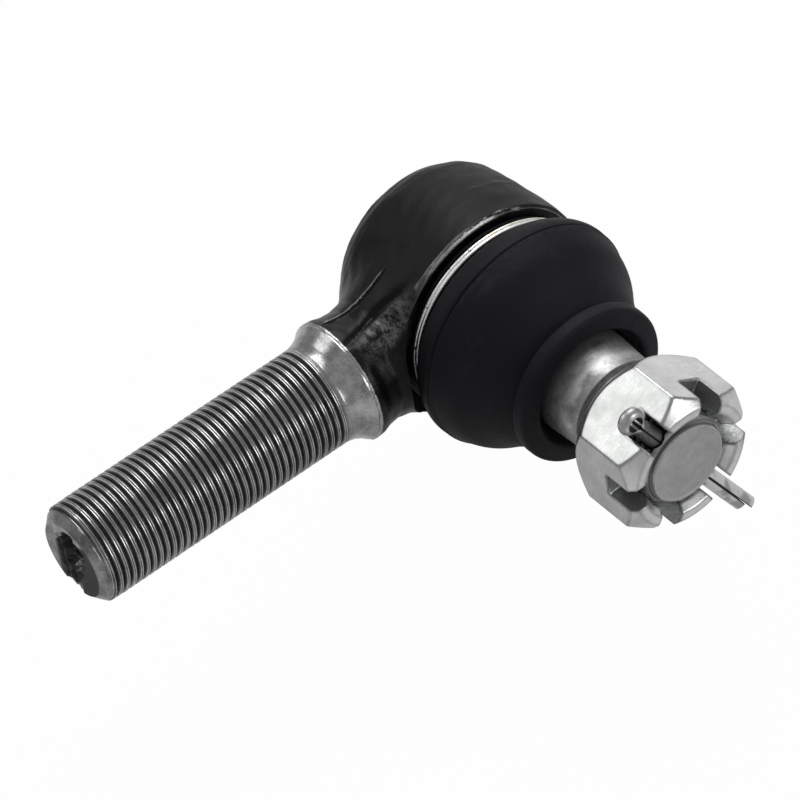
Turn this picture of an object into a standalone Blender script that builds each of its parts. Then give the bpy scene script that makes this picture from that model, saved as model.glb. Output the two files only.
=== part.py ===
"""Tie rod end: a forged ball joint housing with a threaded shank, a tapered ball stud, its dust boot,
a slotted nut and a cotter pin.

Frame: the origin is the centre of the cover's outer face. The stud points along -Y, the threaded shank
along -X, and +Z is up as the part lies on its side. Sizes below are in millimetres.

"Reach" is the distance from the ball centre along the stud, towards its threaded end.
"Run" is the distance from the ball centre along the shank, towards its threaded end.
"""

import math

import bmesh
import bpy
from mathutils import Matrix, Vector

MM = 0.001

TURN_STEPS = 40            # flats round every turned piece

# Clearances
SEAT_GAP = 0.3             # ball to bearings, and every pair of pieces that rest on each other
NUT_GAP = 0.35             # nut thread over stud thread
PIN_GAP = 0.45             # cotter pin in the stud's cross hole
LIP_GAP = 0.35             # boot lip and its insert to the stud's cone

# Overall sizes: the rest of the part follows these four
BALL_R = 12.5
STUD_END_REACH = 60.3      # ball centre to the stud's end face
SHANK_END_RUN = 92.2       # ball centre to the shank's end face
DRUM_WALL = 5.9            # bearing bore to the outside of the drum

# Bearings, behind and in front of the ball
BEARING_WALL = 2.2
BEARING_FRONT_LIP = 1.6
SEATS_SPLIT = 1.2          # play between the two bearings, at the ball's equator
PRESSURE_SEAT_BOTTOM = 1.4
PRESSURE_SEAT_HOLE_R = 3.0
SEAT_BORE_R = BALL_R + BEARING_WALL + 2 * SEAT_GAP
SEAT_SHOULDER_REACH = 0.592 * BALL_R
PRESSURE_SEAT_BACK = -(BALL_R + SEAT_GAP + PRESSURE_SEAT_BOTTOM)

# Cover, which also holds the origin, and the spring under it
COVER_THICKNESS = 1.7
COVER_RIM_REACH = PRESSURE_SEAT_BACK - 0.2     # shoulder that the cover's rim rests against
COVER_DOME_DEPTH = 6.1                         # that shoulder to the cover's outer face
COVER_FACE_DEPTH = COVER_DOME_DEPTH - COVER_RIM_REACH
COVER_RECESS_R = SEAT_BORE_R + 0.9
DOME_RIM_R = SEAT_BORE_R - 4.1
DOME_R = DOME_RIM_R - 1.8                      # flat of the domed cover
SWAGE_LENGTH = 0.9                             # housing lip rolled over the cover's rim
SWAGE_OVERLAP = 1.2
SPRING_WIRE_R = 0.9
SPRING_TURNS = 2.0
SPRING_INNER_R = 3.9
SPRING_OUTER_R = DOME_R - 1.2
SPRING_POINTS_A_TURN = 16
SPRING_SIDES = 6

# Housing
DRUM_R = SEAT_BORE_R + DRUM_WALL
RIM_R = DRUM_R - 0.6                           # flat front face round the boot
BOSS_R = SEAT_BORE_R + 1.3                     # the spigot that the boot's bead grips
BOSS_REACH = SEAT_SHOULDER_REACH + 2.2
MOUTH_R = BALL_R
DRUM_FRONT_REACH = BOSS_REACH - 4.25
DRUM_BACK_REACH = COVER_RIM_REACH - 2.0
SHANK_THREAD_R = 9.925                         # M20 x 1.5
SHANK_CHAMFER = 1.85
SHOULDER_R = SHANK_THREAD_R + 2.275
SHOULDER_RUN = DRUM_R + 10.3
SHOULDER_LENGTH = 4.6
NECK_WAIST_R = SHOULDER_R - 0.9
CENTRE_HOLE_R = 4.2
CENTRE_HOLE_DEPTH = 2.6
CENTRE_DRILL_R = 1.4
CENTRE_DRILL_DEPTH = 6.0

# Nut
NUT_ACROSS_FLATS = 27.0
NUT_HEIGHT = 16.2
NUT_TOP_REACH = STUD_END_REACH + 0.7
NUT_BASE_REACH = NUT_TOP_REACH - NUT_HEIGHT
NUT_SLOT_WIDTH = 5.0
NUT_SLOT_DEPTH = 7.0
NUT_SLOT_FLOOR = NUT_TOP_REACH - NUT_SLOT_DEPTH
NUT_BASE_CHAMFER = 3.0                         # length of the chamfer along each corner
NUT_BASE_INSET = 0.5                           # chamfer circle inside the flats
NUT_TOP_CHAMFER = 2.9
NUT_TOP_INSET = 1.0
NUT_BORE_CHAMFER = 1.0
NUT_TURN_DEG = 30.0                            # first hexagon corner, from +X towards +Z

# Cotter pin
PIN_TURN_DEG = 120.0                           # it lies along this flat's normal
PIN_LEG_R = 1.75                               # each leg is half of a round this large
PIN_LEG_SPLIT = 0.4
PIN_HOLE_R = PIN_LEG_R + PIN_LEG_SPLIT / 2 + PIN_GAP
PIN_REACH = NUT_SLOT_FLOOR + SEAT_GAP + PIN_HOLE_R
PIN_EYE_R = 1.3                                # hole of the eye
PIN_BEND_R = 2.4                               # where each leg opens into the eye
PIN_EYE_RISE = 3.4                             # eye centre above the nut's flat
PIN_LONG_LEG = NUT_ACROSS_FLATS / 2 + 15.1     # stud axis to the longer leg's tip
PIN_SHORT_LEG = PIN_LONG_LEG - 2.4

# Stud beyond the ball
STUD_THREAD_R = 8.86                           # M18 x 1.5
STUD_NECK_R = 7.4
STUD_RELIEF_R = STUD_THREAD_R - 0.36
STUD_RELIEF_LENGTH = 2.2
STUD_CHAMFER = 1.0
TAPER_RATIO = 8.0                              # one in eight on the diameter
TAPER_SMALL_R = STUD_THREAD_R + 0.89
TAPER_SMALL_REACH = NUT_BASE_REACH - 3.8
TAPER_LENGTH = 16.0
TAPER_LARGE_REACH = TAPER_SMALL_REACH - TAPER_LENGTH

# Boot's retaining ring
BOOT_BEAD_R = BOSS_R + SEAT_GAP + 2.3
RING_REACH = DRUM_FRONT_REACH + 1.45
RING_WIDTH = 1.3
RING_THICKNESS = 1.1
RING_R = BOOT_BEAD_R + 0.5
RING_EDGE = 0.3

# Dust boot and the stiffener in its lip
BOOT_WALL = 2.0
BOOT_WIDEST_R = DRUM_R + 1.75
BOOT_WIDEST_REACH = BOSS_REACH + 4.7
LIP_FRONT_REACH = TAPER_SMALL_REACH - 6.6
LIP_BACK_REACH = LIP_FRONT_REACH - 2.9
INSERT_THICKNESS = 2.0
INSERT_WIDTH = 2.5
INSERT_REACH = LIP_FRONT_REACH - 5.8
INSERT_HOLE_R = TAPER_SMALL_R + (TAPER_SMALL_REACH - INSERT_REACH) / (2 * TAPER_RATIO) + LIP_GAP
INSERT_R = INSERT_HOLE_R + INSERT_WIDTH
LIP_R = INSERT_R + 2.65
CREASE_R = LIP_R - 1.45                        # waist between the boot's bulge and its lip
CREASE_REACH = LIP_BACK_REACH - 1.6
# The boot's wall from its widest place to its small end: shares of the way along, and of the way out.
BOOT_SWELL_OUTSIDE = [(0.17, 0.93), (0.38, 0.78), (0.6, 0.49), (0.83, 0.23)]
BOOT_SWELL_INSIDE = [(0.15, 0.93), (0.35, 0.76), (0.58, 0.46), (0.81, 0.18)]


def taper_radius(reach):
    """Radius of the stud's seat cone at this reach."""
    return TAPER_SMALL_R + (TAPER_SMALL_REACH - reach) / (2 * TAPER_RATIO)


def sphere_arc(radius, first_reach, last_reach, steps):
    """Points (radius, reach) on a sphere about the ball centre, from one reach to the other."""
    first = math.acos(max(-1.0, min(1.0, first_reach / radius)))
    last = math.acos(max(-1.0, min(1.0, last_reach / radius)))
    angles = [first + (last - first) * step / steps for step in range(steps + 1)]
    return [(radius * math.sin(angle), radius * math.cos(angle)) for angle in angles]


def smooth_through(points, steps):
    """A Catmull-Rom curve through outline points, with this many short lines between each pair."""
    ends = [points[0]] + points + [points[-1]]
    curve = []
    for before, start, stop, after in zip(ends, ends[1:], ends[2:], ends[3:]):
        for step in range(steps):
            t = step / steps
            curve.append(tuple(
                0.5 * (2 * b + (c - a) * t + (2 * a - 5 * b + 4 * c - d) * t ** 2 + (3 * b - a - 3 * c + d) * t ** 3)
                for a, b, c, d in zip(before, start, stop, after)
            ))
    curve.append(points[-1])
    return curve


# ---------------------------------------------------------------- making objects

STUD_AXIS = Vector((0.0, -1.0, 0.0))
SHANK_AXIS = Vector((-1.0, 0.0, 0.0))
UP = Vector((0.0, 0.0, 1.0))
BALL_CENTRE = Vector((0.0, -COVER_FACE_DEPTH * MM, 0.0))


def material(name, colour, roughness, metallic):
    """A plain Principled finish."""
    made = bpy.data.materials.new(name)
    made.use_nodes = True
    shader = made.node_tree.nodes["Principled BSDF"]
    shader.inputs["Base Color"].default_value = (*colour, 1.0)
    shader.inputs["Roughness"].default_value = roughness
    shader.inputs["Metallic"].default_value = metallic
    return made


def add_object(name, bm, finish=None):
    """Makes an object at the ball centre from a bmesh whose points are in millimetres round it."""
    bmesh.ops.remove_doubles(bm, verts=bm.verts, dist=1e-5)
    bmesh.ops.dissolve_degenerate(bm, dist=1e-5, edges=bm.edges)
    bmesh.ops.recalc_face_normals(bm, faces=bm.faces)
    bmesh.ops.scale(bm, vec=(MM, MM, MM), verts=bm.verts)
    mesh = bpy.data.meshes.new(name)
    bm.to_mesh(mesh)
    bm.free()
    mesh.shade_smooth()
    mesh.set_sharp_from_angle(angle=math.radians(35))
    made = bpy.data.objects.new(name, mesh)
    made.location = BALL_CENTRE
    bpy.context.collection.objects.link(made)
    if finish:
        made.data.materials.append(finish)
    return made


def turned_mesh(outline, axis, steps=TURN_STEPS, closed=True):
    """A bmesh turned about an axis through the ball centre. The outline's points are (radius, distance)."""
    side = UP.cross(axis)
    bm = bmesh.new()
    corners = [bm.verts.new(side * radius + axis * distance) for radius, distance in outline]
    edges = [bm.edges.new(pair) for pair in zip(corners, corners[1:])]
    if closed:
        edges.append(bm.edges.new((corners[-1], corners[0])))
    bmesh.ops.spin(
        bm, geom=corners + edges, cent=(0, 0, 0), axis=axis, dvec=(0, 0, 0),
        angle=2 * math.pi, steps=steps, use_merge=True, use_duplicate=False,
    )
    return bm


def turned_ring(name, outline, axis, finish=None):
    """A turned piece with a hole through it."""
    return add_object(name, turned_mesh(outline, axis), finish)


def turned_bar(name, outline, axis, finish=None):
    """A turned piece that is solid at its axis: the outline starts and ends at radius 0."""
    return add_object(name, turned_mesh(outline, axis, closed=False), finish)


def as_tool(tool):
    """Hides a shape that only adds to or cuts another piece."""
    tool.hide_render = True
    tool.display_type = "WIRE"
    return tool


def combine(target, tool, operation):
    """Adds a live Boolean."""
    modifier = target.modifiers.new(tool.name, "BOOLEAN")
    modifier.operation = operation
    modifier.object = as_tool(tool)
    modifier.solver = "EXACT"


def across(turn_deg):
    """The direction square to the stud at this angle from +X towards +Z."""
    return Vector((math.cos(math.radians(turn_deg)), 0.0, math.sin(math.radians(turn_deg))))


# ---------------------------------------------------------------- housing

def drum_outline():
    """Outside of the drum and of the spigot under the boot, from the back to the front."""
    swage_end = DRUM_BACK_REACH - SWAGE_LENGTH
    return [
        (0.0, swage_end),
        (COVER_RECESS_R, swage_end),
        (COVER_RECESS_R + 0.7, DRUM_BACK_REACH),
        (DRUM_R - 3.1, DRUM_BACK_REACH + 1.1),
        (DRUM_R - 1.8, DRUM_BACK_REACH + 2.2),
        (DRUM_R - 1.3, DRUM_BACK_REACH + 3.6),
        (DRUM_R - 0.7, DRUM_BACK_REACH + 7.9),
        (DRUM_R - 0.1, DRUM_BACK_REACH + 12.9),
        (DRUM_R, DRUM_FRONT_REACH - 1.4),
        (DRUM_R - 0.15, DRUM_FRONT_REACH - 0.5),
        (RIM_R, DRUM_FRONT_REACH),
        (BOSS_R, DRUM_FRONT_REACH),
        (BOSS_R, BOSS_REACH - 0.5),
        (BOSS_R - 0.5, BOSS_REACH),
        (0.0, BOSS_REACH),
    ]


def neck_outline():
    """The forged neck, from inside the drum out to the shoulder's rim."""
    inside = DRUM_R * 0.55
    return [
        (0.0, inside),
        (NECK_WAIST_R + 4.3, inside),
        (NECK_WAIST_R + 3.3, DRUM_R - 4.0),
        (NECK_WAIST_R + 1.7, DRUM_R - 0.6),
        (NECK_WAIST_R + 0.3, DRUM_R + 1.8),
        (NECK_WAIST_R, SHOULDER_RUN - 5.6),
        (NECK_WAIST_R + 0.5, SHOULDER_RUN - 2.8),
        (SHOULDER_R, SHOULDER_RUN - 1.4),
        (SHOULDER_R, SHOULDER_RUN),
        (0.0, SHOULDER_RUN),
    ]


def shank_outline():
    """The machined shoulder, the thread at its major diameter and the centred end."""
    start = SHOULDER_RUN - 3.0
    thread_start = SHOULDER_RUN + SHOULDER_LENGTH
    return [
        (0.0, start),
        (SHOULDER_R - 1.5, start),
        (SHOULDER_R - 0.25, SHOULDER_RUN - 0.3),
        (SHOULDER_R - 0.25, SHOULDER_RUN + 0.25),
        (SHANK_THREAD_R + 1.1, SHOULDER_RUN + 0.42 * SHOULDER_LENGTH),
        (SHANK_THREAD_R + 0.25, SHOULDER_RUN + 0.75 * SHOULDER_LENGTH),
        (SHANK_THREAD_R, thread_start),
        (SHANK_THREAD_R, SHANK_END_RUN - SHANK_CHAMFER),
        (SHANK_THREAD_R - SHANK_CHAMFER, SHANK_END_RUN),
        (CENTRE_HOLE_R, SHANK_END_RUN),
        (CENTRE_DRILL_R, SHANK_END_RUN - CENTRE_HOLE_DEPTH),
        (CENTRE_DRILL_R, SHANK_END_RUN - CENTRE_DRILL_DEPTH),
        (0.0, SHANK_END_RUN - CENTRE_DRILL_DEPTH - 0.6),
    ]


def socket_outline():
    """Everything cut out of the drum along the stud axis: cover recess, bearing bore and mouth."""
    swage_end = DRUM_BACK_REACH - SWAGE_LENGTH
    recess_back = COVER_RIM_REACH - COVER_THICKNESS - 2 * SEAT_GAP
    swage_r = COVER_RECESS_R - SWAGE_OVERLAP
    return [
        (0.0, swage_end - 1.0),
        (swage_r, swage_end - 1.0),
        (swage_r, recess_back),
        (COVER_RECESS_R, recess_back),
        (COVER_RECESS_R, COVER_RIM_REACH),
        (SEAT_BORE_R, COVER_RIM_REACH),
        (SEAT_BORE_R, SEAT_SHOULDER_REACH),
        (MOUTH_R, SEAT_SHOULDER_REACH),
        (MOUTH_R + 0.2, BOSS_REACH + 1.0),
        (0.0, BOSS_REACH + 1.0),
    ]


def boot_clearance_outline():
    """Cut from the neck, so that the rim stands proud all round and the boot stays clear."""
    back = DRUM_FRONT_REACH - 0.5
    clear_r = BOOT_WIDEST_R + 0.8
    return [
        (0.0, back),
        (RIM_R + 0.5, back),
        (DRUM_R + 1.0, DRUM_FRONT_REACH + 1.0),
        (clear_r, BOOT_WIDEST_REACH - 4.0),
        (clear_r, BOOT_WIDEST_REACH + 4.0),
        (0.0, BOOT_WIDEST_REACH + 4.0),
    ]


def build_housing(finish):
    """Neck, threaded shank and drum: one forging."""
    housing = turned_bar("housing", neck_outline(), SHANK_AXIS, finish)
    combine(housing, turned_bar("shank_bar", shank_outline(), SHANK_AXIS), "UNION")
    combine(housing, turned_bar("boot_clearance", boot_clearance_outline(), STUD_AXIS), "DIFFERENCE")
    combine(housing, turned_bar("drum", drum_outline(), STUD_AXIS), "UNION")
    combine(housing, turned_bar("socket_bore", socket_outline(), STUD_AXIS), "DIFFERENCE")
    return housing


# ---------------------------------------------------------------- inside the housing

def build_bearing_seat(finish):
    """The fixed bearing shell between the ball and the mouth of the housing."""
    front = SEAT_SHOULDER_REACH - SEAT_GAP
    back = SEATS_SPLIT / 2
    inner_r = BALL_R + SEAT_GAP
    outer_r = SEAT_BORE_R - SEAT_GAP
    bearing = sphere_arc(inner_r, back, front - BEARING_FRONT_LIP, 4)
    outline = [(outer_r, back)] + bearing + [(bearing[-1][0] + 0.5, front), (outer_r, front)]
    return turned_ring("bearing_seat", outline, STUD_AXIS, finish)


def build_pressure_seat(finish):
    """The sprung bearing cup behind the ball."""
    front = -SEATS_SPLIT / 2
    inner_r = BALL_R + SEAT_GAP
    outer_r = SEAT_BORE_R - SEAT_GAP
    pole = -math.sqrt(inner_r ** 2 - PRESSURE_SEAT_HOLE_R ** 2)
    outline = sphere_arc(inner_r, front, pole, 8)
    outline += [
        (PRESSURE_SEAT_HOLE_R, PRESSURE_SEAT_BACK),
        (outer_r - 1.5, PRESSURE_SEAT_BACK),
        (outer_r, PRESSURE_SEAT_BACK + 1.5),
        (outer_r, front),
    ]
    return turned_ring("pressure_seat", outline, STUD_AXIS, finish)


def build_cover(finish):
    """The domed plate swaged into the back of the housing."""
    rim_front = COVER_RIM_REACH - SEAT_GAP
    rim_back = rim_front - COVER_THICKNESS
    rim_r = COVER_RECESS_R - SEAT_GAP
    dome_back = -COVER_FACE_DEPTH
    dome_inside = dome_back + COVER_THICKNESS
    outline = [
        (0.0, dome_inside),
        (DOME_R - 0.3, dome_inside),
        (DOME_R + 0.5, dome_inside + 0.6),
        (DOME_RIM_R, rim_front - 0.4),
        (DOME_RIM_R + 0.8, rim_front),
        (rim_r, rim_front),
        (rim_r, rim_back),
        (DOME_RIM_R + 2.2, rim_back),
        (DOME_RIM_R + 1.4, rim_back - 0.5),
        (DOME_R + 1.0, dome_back + 0.5),
        (DOME_R, dome_back),
        (0.0, dome_back),
    ]
    return turned_bar("closure_cover", outline, STUD_AXIS, finish)


def build_spring(finish):
    """The conical spring between the cover and the pressure seat, as one wire."""
    cover_inside = -COVER_FACE_DEPTH + COVER_THICKNESS
    front = PRESSURE_SEAT_BACK - SEAT_GAP - SPRING_WIRE_R
    back = cover_inside + SEAT_GAP + SPRING_WIRE_R
    count = int(round(SPRING_TURNS * SPRING_POINTS_A_TURN))
    centres = []
    for point in range(count + 1):
        share = point / count
        radius = SPRING_INNER_R + (SPRING_OUTER_R - SPRING_INNER_R) * share
        centres.append(across(360.0 * SPRING_TURNS * share) * radius + STUD_AXIS * (front + (back - front) * share))
    gap = min(
        (one - other).length - 2 * SPRING_WIRE_R
        for index, one in enumerate(centres)
        for other in centres[index + SPRING_POINTS_A_TURN // 2:]
    )
    print(f"seat_spring least gap to itself {gap:.2f} mm")
    bm = bmesh.new()
    rings = []
    for index, centre in enumerate(centres):
        ahead = centres[min(index + 1, count)] - centres[max(index - 1, 0)]
        outward = Vector((centre.x, 0.0, centre.z)).normalized()
        upward = ahead.cross(outward).normalized()
        outward = upward.cross(ahead).normalized()
        ring = []
        for side in range(SPRING_SIDES):
            angle = 2 * math.pi * side / SPRING_SIDES
            offset = outward * math.cos(angle) + upward * math.sin(angle)
            ring.append(bm.verts.new(centre + offset * SPRING_WIRE_R))
        rings.append(ring)
    loft(bm, rings)
    return add_object("seat_spring", bm, finish)


def loft(bm, rings):
    """Joins rings of points into a closed tube with flat ends."""
    for one, other in zip(rings, rings[1:]):
        for index in range(len(one)):
            after = (index + 1) % len(one)
            bm.faces.new((one[index], one[after], other[after], other[index]))
    bm.faces.new(list(reversed(rings[0])))
    bm.faces.new(rings[-1])


# ---------------------------------------------------------------- stud, nut and pin

def build_ball_stud(finish):
    """Ball, neck, seat cone and thread, with the cross hole for the cotter pin."""
    neck_reach = math.sqrt(BALL_R ** 2 - STUD_NECK_R ** 2)
    ball = sphere_arc(BALL_R, -BALL_R, neck_reach - 0.25, 15)
    ball[0] = (0.0, -BALL_R)
    neck_start = neck_reach + 1.0
    neck_length = TAPER_LARGE_REACH - neck_start
    thread_start = TAPER_SMALL_REACH + STUD_RELIEF_LENGTH
    outline = ball + [
        (STUD_NECK_R, neck_start),
        (STUD_NECK_R, neck_start + 0.35 * neck_length),
        (STUD_NECK_R + 0.6, neck_start + 0.57 * neck_length),
        (taper_radius(TAPER_LARGE_REACH) - 1.0, neck_start + 0.84 * neck_length),
        (taper_radius(TAPER_LARGE_REACH), TAPER_LARGE_REACH),
        (TAPER_SMALL_R, TAPER_SMALL_REACH),
        (STUD_RELIEF_R, TAPER_SMALL_REACH + 0.4),
        (STUD_RELIEF_R, thread_start),
        (STUD_THREAD_R, thread_start + 0.4),
        (STUD_THREAD_R, STUD_END_REACH - 2 * STUD_CHAMFER),
        (STUD_THREAD_R - STUD_CHAMFER, STUD_END_REACH),
        (0.0, STUD_END_REACH),
    ]
    stud = turned_bar("ball_stud", outline, STUD_AXIS, finish)
    combine(stud, cross_hole(), "DIFFERENCE")
    return stud


def cross_hole():
    """The cutter for the stud's cotter pin hole."""
    bm = bmesh.new()
    turn = across(PIN_TURN_DEG).to_track_quat("Z", "Y").to_matrix().to_4x4()
    place = Matrix.Translation(STUD_AXIS * PIN_REACH) @ turn
    bmesh.ops.create_cone(
        bm, cap_ends=True, segments=20, radius1=PIN_HOLE_R, radius2=PIN_HOLE_R, depth=3 * STUD_THREAD_R, matrix=place
    )
    return add_object("stud_cross_hole", bm)


def build_castle_nut(finish):
    """A slotted hexagon nut: a chamfered hexagon, bored through, with three slots right across it."""
    corner_r = NUT_ACROSS_FLATS / math.sqrt(3)
    bm = bmesh.new()
    rings = []
    for reach in (NUT_BASE_REACH, NUT_TOP_REACH):
        ring = [across(NUT_TURN_DEG + 60 * side) * corner_r + STUD_AXIS * reach for side in range(6)]
        rings.append([bm.verts.new(corner) for corner in ring])
    loft(bm, rings)
    nut = add_object("castle_nut", bm, finish)

    flat_r = NUT_ACROSS_FLATS / 2
    over = 1.0
    base_slope = (corner_r - flat_r + NUT_BASE_INSET) / NUT_BASE_CHAMFER
    top_slope = (corner_r - flat_r + NUT_TOP_INSET) / NUT_TOP_CHAMFER
    chamfers = [
        (0.0, NUT_BASE_REACH - over),
        (flat_r - NUT_BASE_INSET - over * base_slope, NUT_BASE_REACH - over),
        (corner_r + 0.1 * base_slope, NUT_BASE_REACH + NUT_BASE_CHAMFER + 0.1),
        (corner_r + 0.1 * top_slope, NUT_TOP_REACH - NUT_TOP_CHAMFER - 0.1),
        (flat_r - NUT_TOP_INSET - over * top_slope, NUT_TOP_REACH + over),
        (0.0, NUT_TOP_REACH + over),
    ]
    combine(nut, turned_bar("nut_chamfers", chamfers, STUD_AXIS), "INTERSECT")
    bore_r = STUD_THREAD_R + NUT_GAP
    bore = [
        (0.0, NUT_BASE_REACH - over),
        (bore_r + NUT_BORE_CHAMFER + over, NUT_BASE_REACH - over),
        (bore_r, NUT_BASE_REACH + NUT_BORE_CHAMFER),
        (bore_r, NUT_TOP_REACH + over),
        (0.0, NUT_TOP_REACH + over),
    ]
    combine(nut, turned_bar("nut_bore", bore, STUD_AXIS), "DIFFERENCE")
    for slot in range(3):
        combine(nut, slot_cutter(f"nut_slot_{slot}", PIN_TURN_DEG + 60 * slot), "DIFFERENCE")
    return nut


def slot_cutter(name, turn_deg):
    """A bar that cuts two opposite slots in the nut's top."""
    along = across(turn_deg)
    sideways = STUD_AXIS.cross(along)
    height = NUT_SLOT_DEPTH + 2.0
    turn = Matrix((along, sideways, STUD_AXIS)).transposed().to_4x4()
    place = Matrix.Translation(STUD_AXIS * (NUT_SLOT_FLOOR + height / 2)) @ turn
    size = Matrix.Diagonal((2 * NUT_ACROSS_FLATS, NUT_SLOT_WIDTH, height, 1.0))
    bm = bmesh.new()
    bmesh.ops.create_cube(bm, size=1.0, matrix=place @ size)
    return add_object(name, bm)


def pin_path():
    """The flat inner side of the cotter pin's wire, as (along, aside, outward along, outward aside)."""
    split = PIN_LEG_SPLIT / 2
    eye = NUT_ACROSS_FLATS / 2 + PIN_EYE_RISE
    bend_aside = split + PIN_BEND_R
    bend_along = eye - math.sqrt((PIN_BEND_R + PIN_EYE_R) ** 2 - bend_aside ** 2)
    opening = math.atan2(bend_aside, bend_along - eye)
    half = []
    for step in range(5):
        angle = -math.pi / 2 + (opening - math.pi / 2) * step / 4
        half.append((
            bend_along + PIN_BEND_R * math.cos(angle), bend_aside + PIN_BEND_R * math.sin(angle),
            -math.cos(angle), -math.sin(angle),
        ))
    for step in range(1, 9):
        angle = opening * (1 - step / 8)
        half.append((eye + PIN_EYE_R * math.cos(angle), PIN_EYE_R * math.sin(angle), math.cos(angle), math.sin(angle)))
    mirrored = [(along, -aside, out_along, -out_aside) for along, aside, out_along, out_aside in half[-2::-1]]
    first = [(-PIN_SHORT_LEG, split, 0.0, 1.0)]
    last = [(-PIN_LONG_LEG, -split, 0.0, -1.0)]
    return first + half + mirrored + last


def build_cotter_pin(finish):
    """A split pin of half-round wire, bent round its eye, with straight legs."""
    along_axis = across(PIN_TURN_DEG)
    aside_axis = Vector((-along_axis.z, 0.0, along_axis.x))
    centre = STUD_AXIS * PIN_REACH
    bm = bmesh.new()
    rings = []
    for along, aside, out_along, out_aside in pin_path():
        base = centre + along_axis * along + aside_axis * aside
        outward = along_axis * out_along + aside_axis * out_aside
        ring = []
        for step in range(6):
            angle = math.pi * step / 5
            ring.append(bm.verts.new(
                base + outward * (PIN_LEG_R * math.sin(angle)) + STUD_AXIS * (PIN_LEG_R * math.cos(angle))
            ))
        rings.append(ring)
    loft(bm, rings)
    return add_object("cotter_pin", bm, finish)


# ---------------------------------------------------------------- boot and its rings

def swell(shares, widest_r, end_r, end_reach):
    """Outline points from the boot's widest place towards its small end."""
    points = [
        (end_r + (widest_r - end_r) * out, BOOT_WIDEST_REACH + (end_reach - BOOT_WIDEST_REACH) * along)
        for along, out in shares
    ]
    return [(widest_r, BOOT_WIDEST_REACH)] + points + [(end_r, end_reach)]


def boot_outside():
    """The boot's outer line from its bead to the crease behind its lip."""
    groove_r = RING_R - RING_THICKNESS - SEAT_GAP
    groove_back = RING_REACH - SEAT_GAP
    groove_front = RING_REACH + RING_WIDTH + SEAT_GAP
    bead = [
        (BOOT_BEAD_R, DRUM_FRONT_REACH + SEAT_GAP),
        (BOOT_BEAD_R, groove_back),
        (groove_r, groove_back),
        (groove_r, groove_front),
    ]
    bulge = [
        (RING_R, groove_front),
        (BOOT_WIDEST_R - 1.55, groove_front + 1.6),
        (BOOT_WIDEST_R - 0.45, BOOT_WIDEST_REACH - 2.1),
    ]
    return bead + smooth_through(bulge + swell(BOOT_SWELL_OUTSIDE, BOOT_WIDEST_R, CREASE_R, CREASE_REACH), 2)


def boot_inside():
    """The boot's inner line from the insert's seat back to the bead."""
    hollow = swell(BOOT_SWELL_INSIDE, BOOT_WIDEST_R - BOOT_WALL, INSERT_R + SEAT_GAP, INSERT_REACH - SEAT_GAP)
    grip_r = BOSS_R + SEAT_GAP
    heel = [
        (BOOT_WIDEST_R - BOOT_WALL - 0.65, BOOT_WIDEST_REACH - 1.9),
        (BOOT_WIDEST_R - BOOT_WALL - 2.55, BOOT_WIDEST_REACH - 3.5),
        (grip_r, BOSS_REACH + 0.2),
    ]
    return smooth_through(hollow[::-1] + heel, 2) + [(grip_r, DRUM_FRONT_REACH + SEAT_GAP)]


def build_dust_boot(finish):
    """The rubber boot: bead, bulging wall and the lip that hugs the stud's cone."""
    pocket_front = INSERT_REACH + INSERT_THICKNESS + SEAT_GAP
    mouth_reach = pocket_front + 1.0
    mouth_r = taper_radius(mouth_reach) + LIP_GAP
    lip = [
        (LIP_R - 0.7, LIP_BACK_REACH - 0.8),
        (LIP_R, LIP_BACK_REACH),
        (LIP_R - 0.05, LIP_BACK_REACH + 0.9),
        (LIP_R - 0.6, LIP_FRONT_REACH - 1.0),
        (LIP_R - 1.6, LIP_FRONT_REACH - 0.1),
        (LIP_R - 2.6, LIP_FRONT_REACH),
        (LIP_R - 3.8, LIP_FRONT_REACH - 0.9),
        (mouth_r + 0.35, mouth_reach + 0.5),
        (mouth_r, mouth_reach),
        (taper_radius(pocket_front) + LIP_GAP, pocket_front),
        (INSERT_R + SEAT_GAP, pocket_front),
    ]
    return turned_ring("dust_boot", boot_outside() + lip + boot_inside(), STUD_AXIS, finish)


def build_retaining_ring(finish):
    """The bright ring that holds the boot's bead on the housing."""
    inner_r = RING_R - RING_THICKNESS
    front = RING_REACH + RING_WIDTH
    outline = [
        (inner_r, RING_REACH),
        (inner_r, front),
        (RING_R - RING_EDGE, front),
        (RING_R, front - RING_EDGE),
        (RING_R, RING_REACH + RING_EDGE),
        (RING_R - RING_EDGE, RING_REACH),
    ]
    return turned_ring("boot_retaining_ring", outline, STUD_AXIS, finish)


def build_lip_insert(finish):
    """The stiffening ring inside the boot's small end."""
    front = INSERT_REACH + INSERT_THICKNESS
    outline = [
        (INSERT_HOLE_R, INSERT_REACH),
        (INSERT_HOLE_R, front),
        (INSERT_R, front),
        (INSERT_R, INSERT_REACH),
    ]
    return turned_ring("boot_lip_insert", outline, STUD_AXIS, finish)


# ---------------------------------------------------------------- assembly

def joint_empty(name, parent=None):
    """An empty at the ball centre that carries one moving group."""
    made = bpy.data.objects.new(name, None)
    made.empty_display_size = 0.02
    bpy.context.collection.objects.link(made)
    if parent:
        made.parent = parent
    else:
        made.location = BALL_CENTRE
    return made


def carry(parent, *pieces):
    """Hangs pieces on a joint's empty, with their places kept: both stand at the ball centre."""
    for piece in pieces:
        piece.parent = parent
        piece.location = (0.0, 0.0, 0.0)


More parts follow.
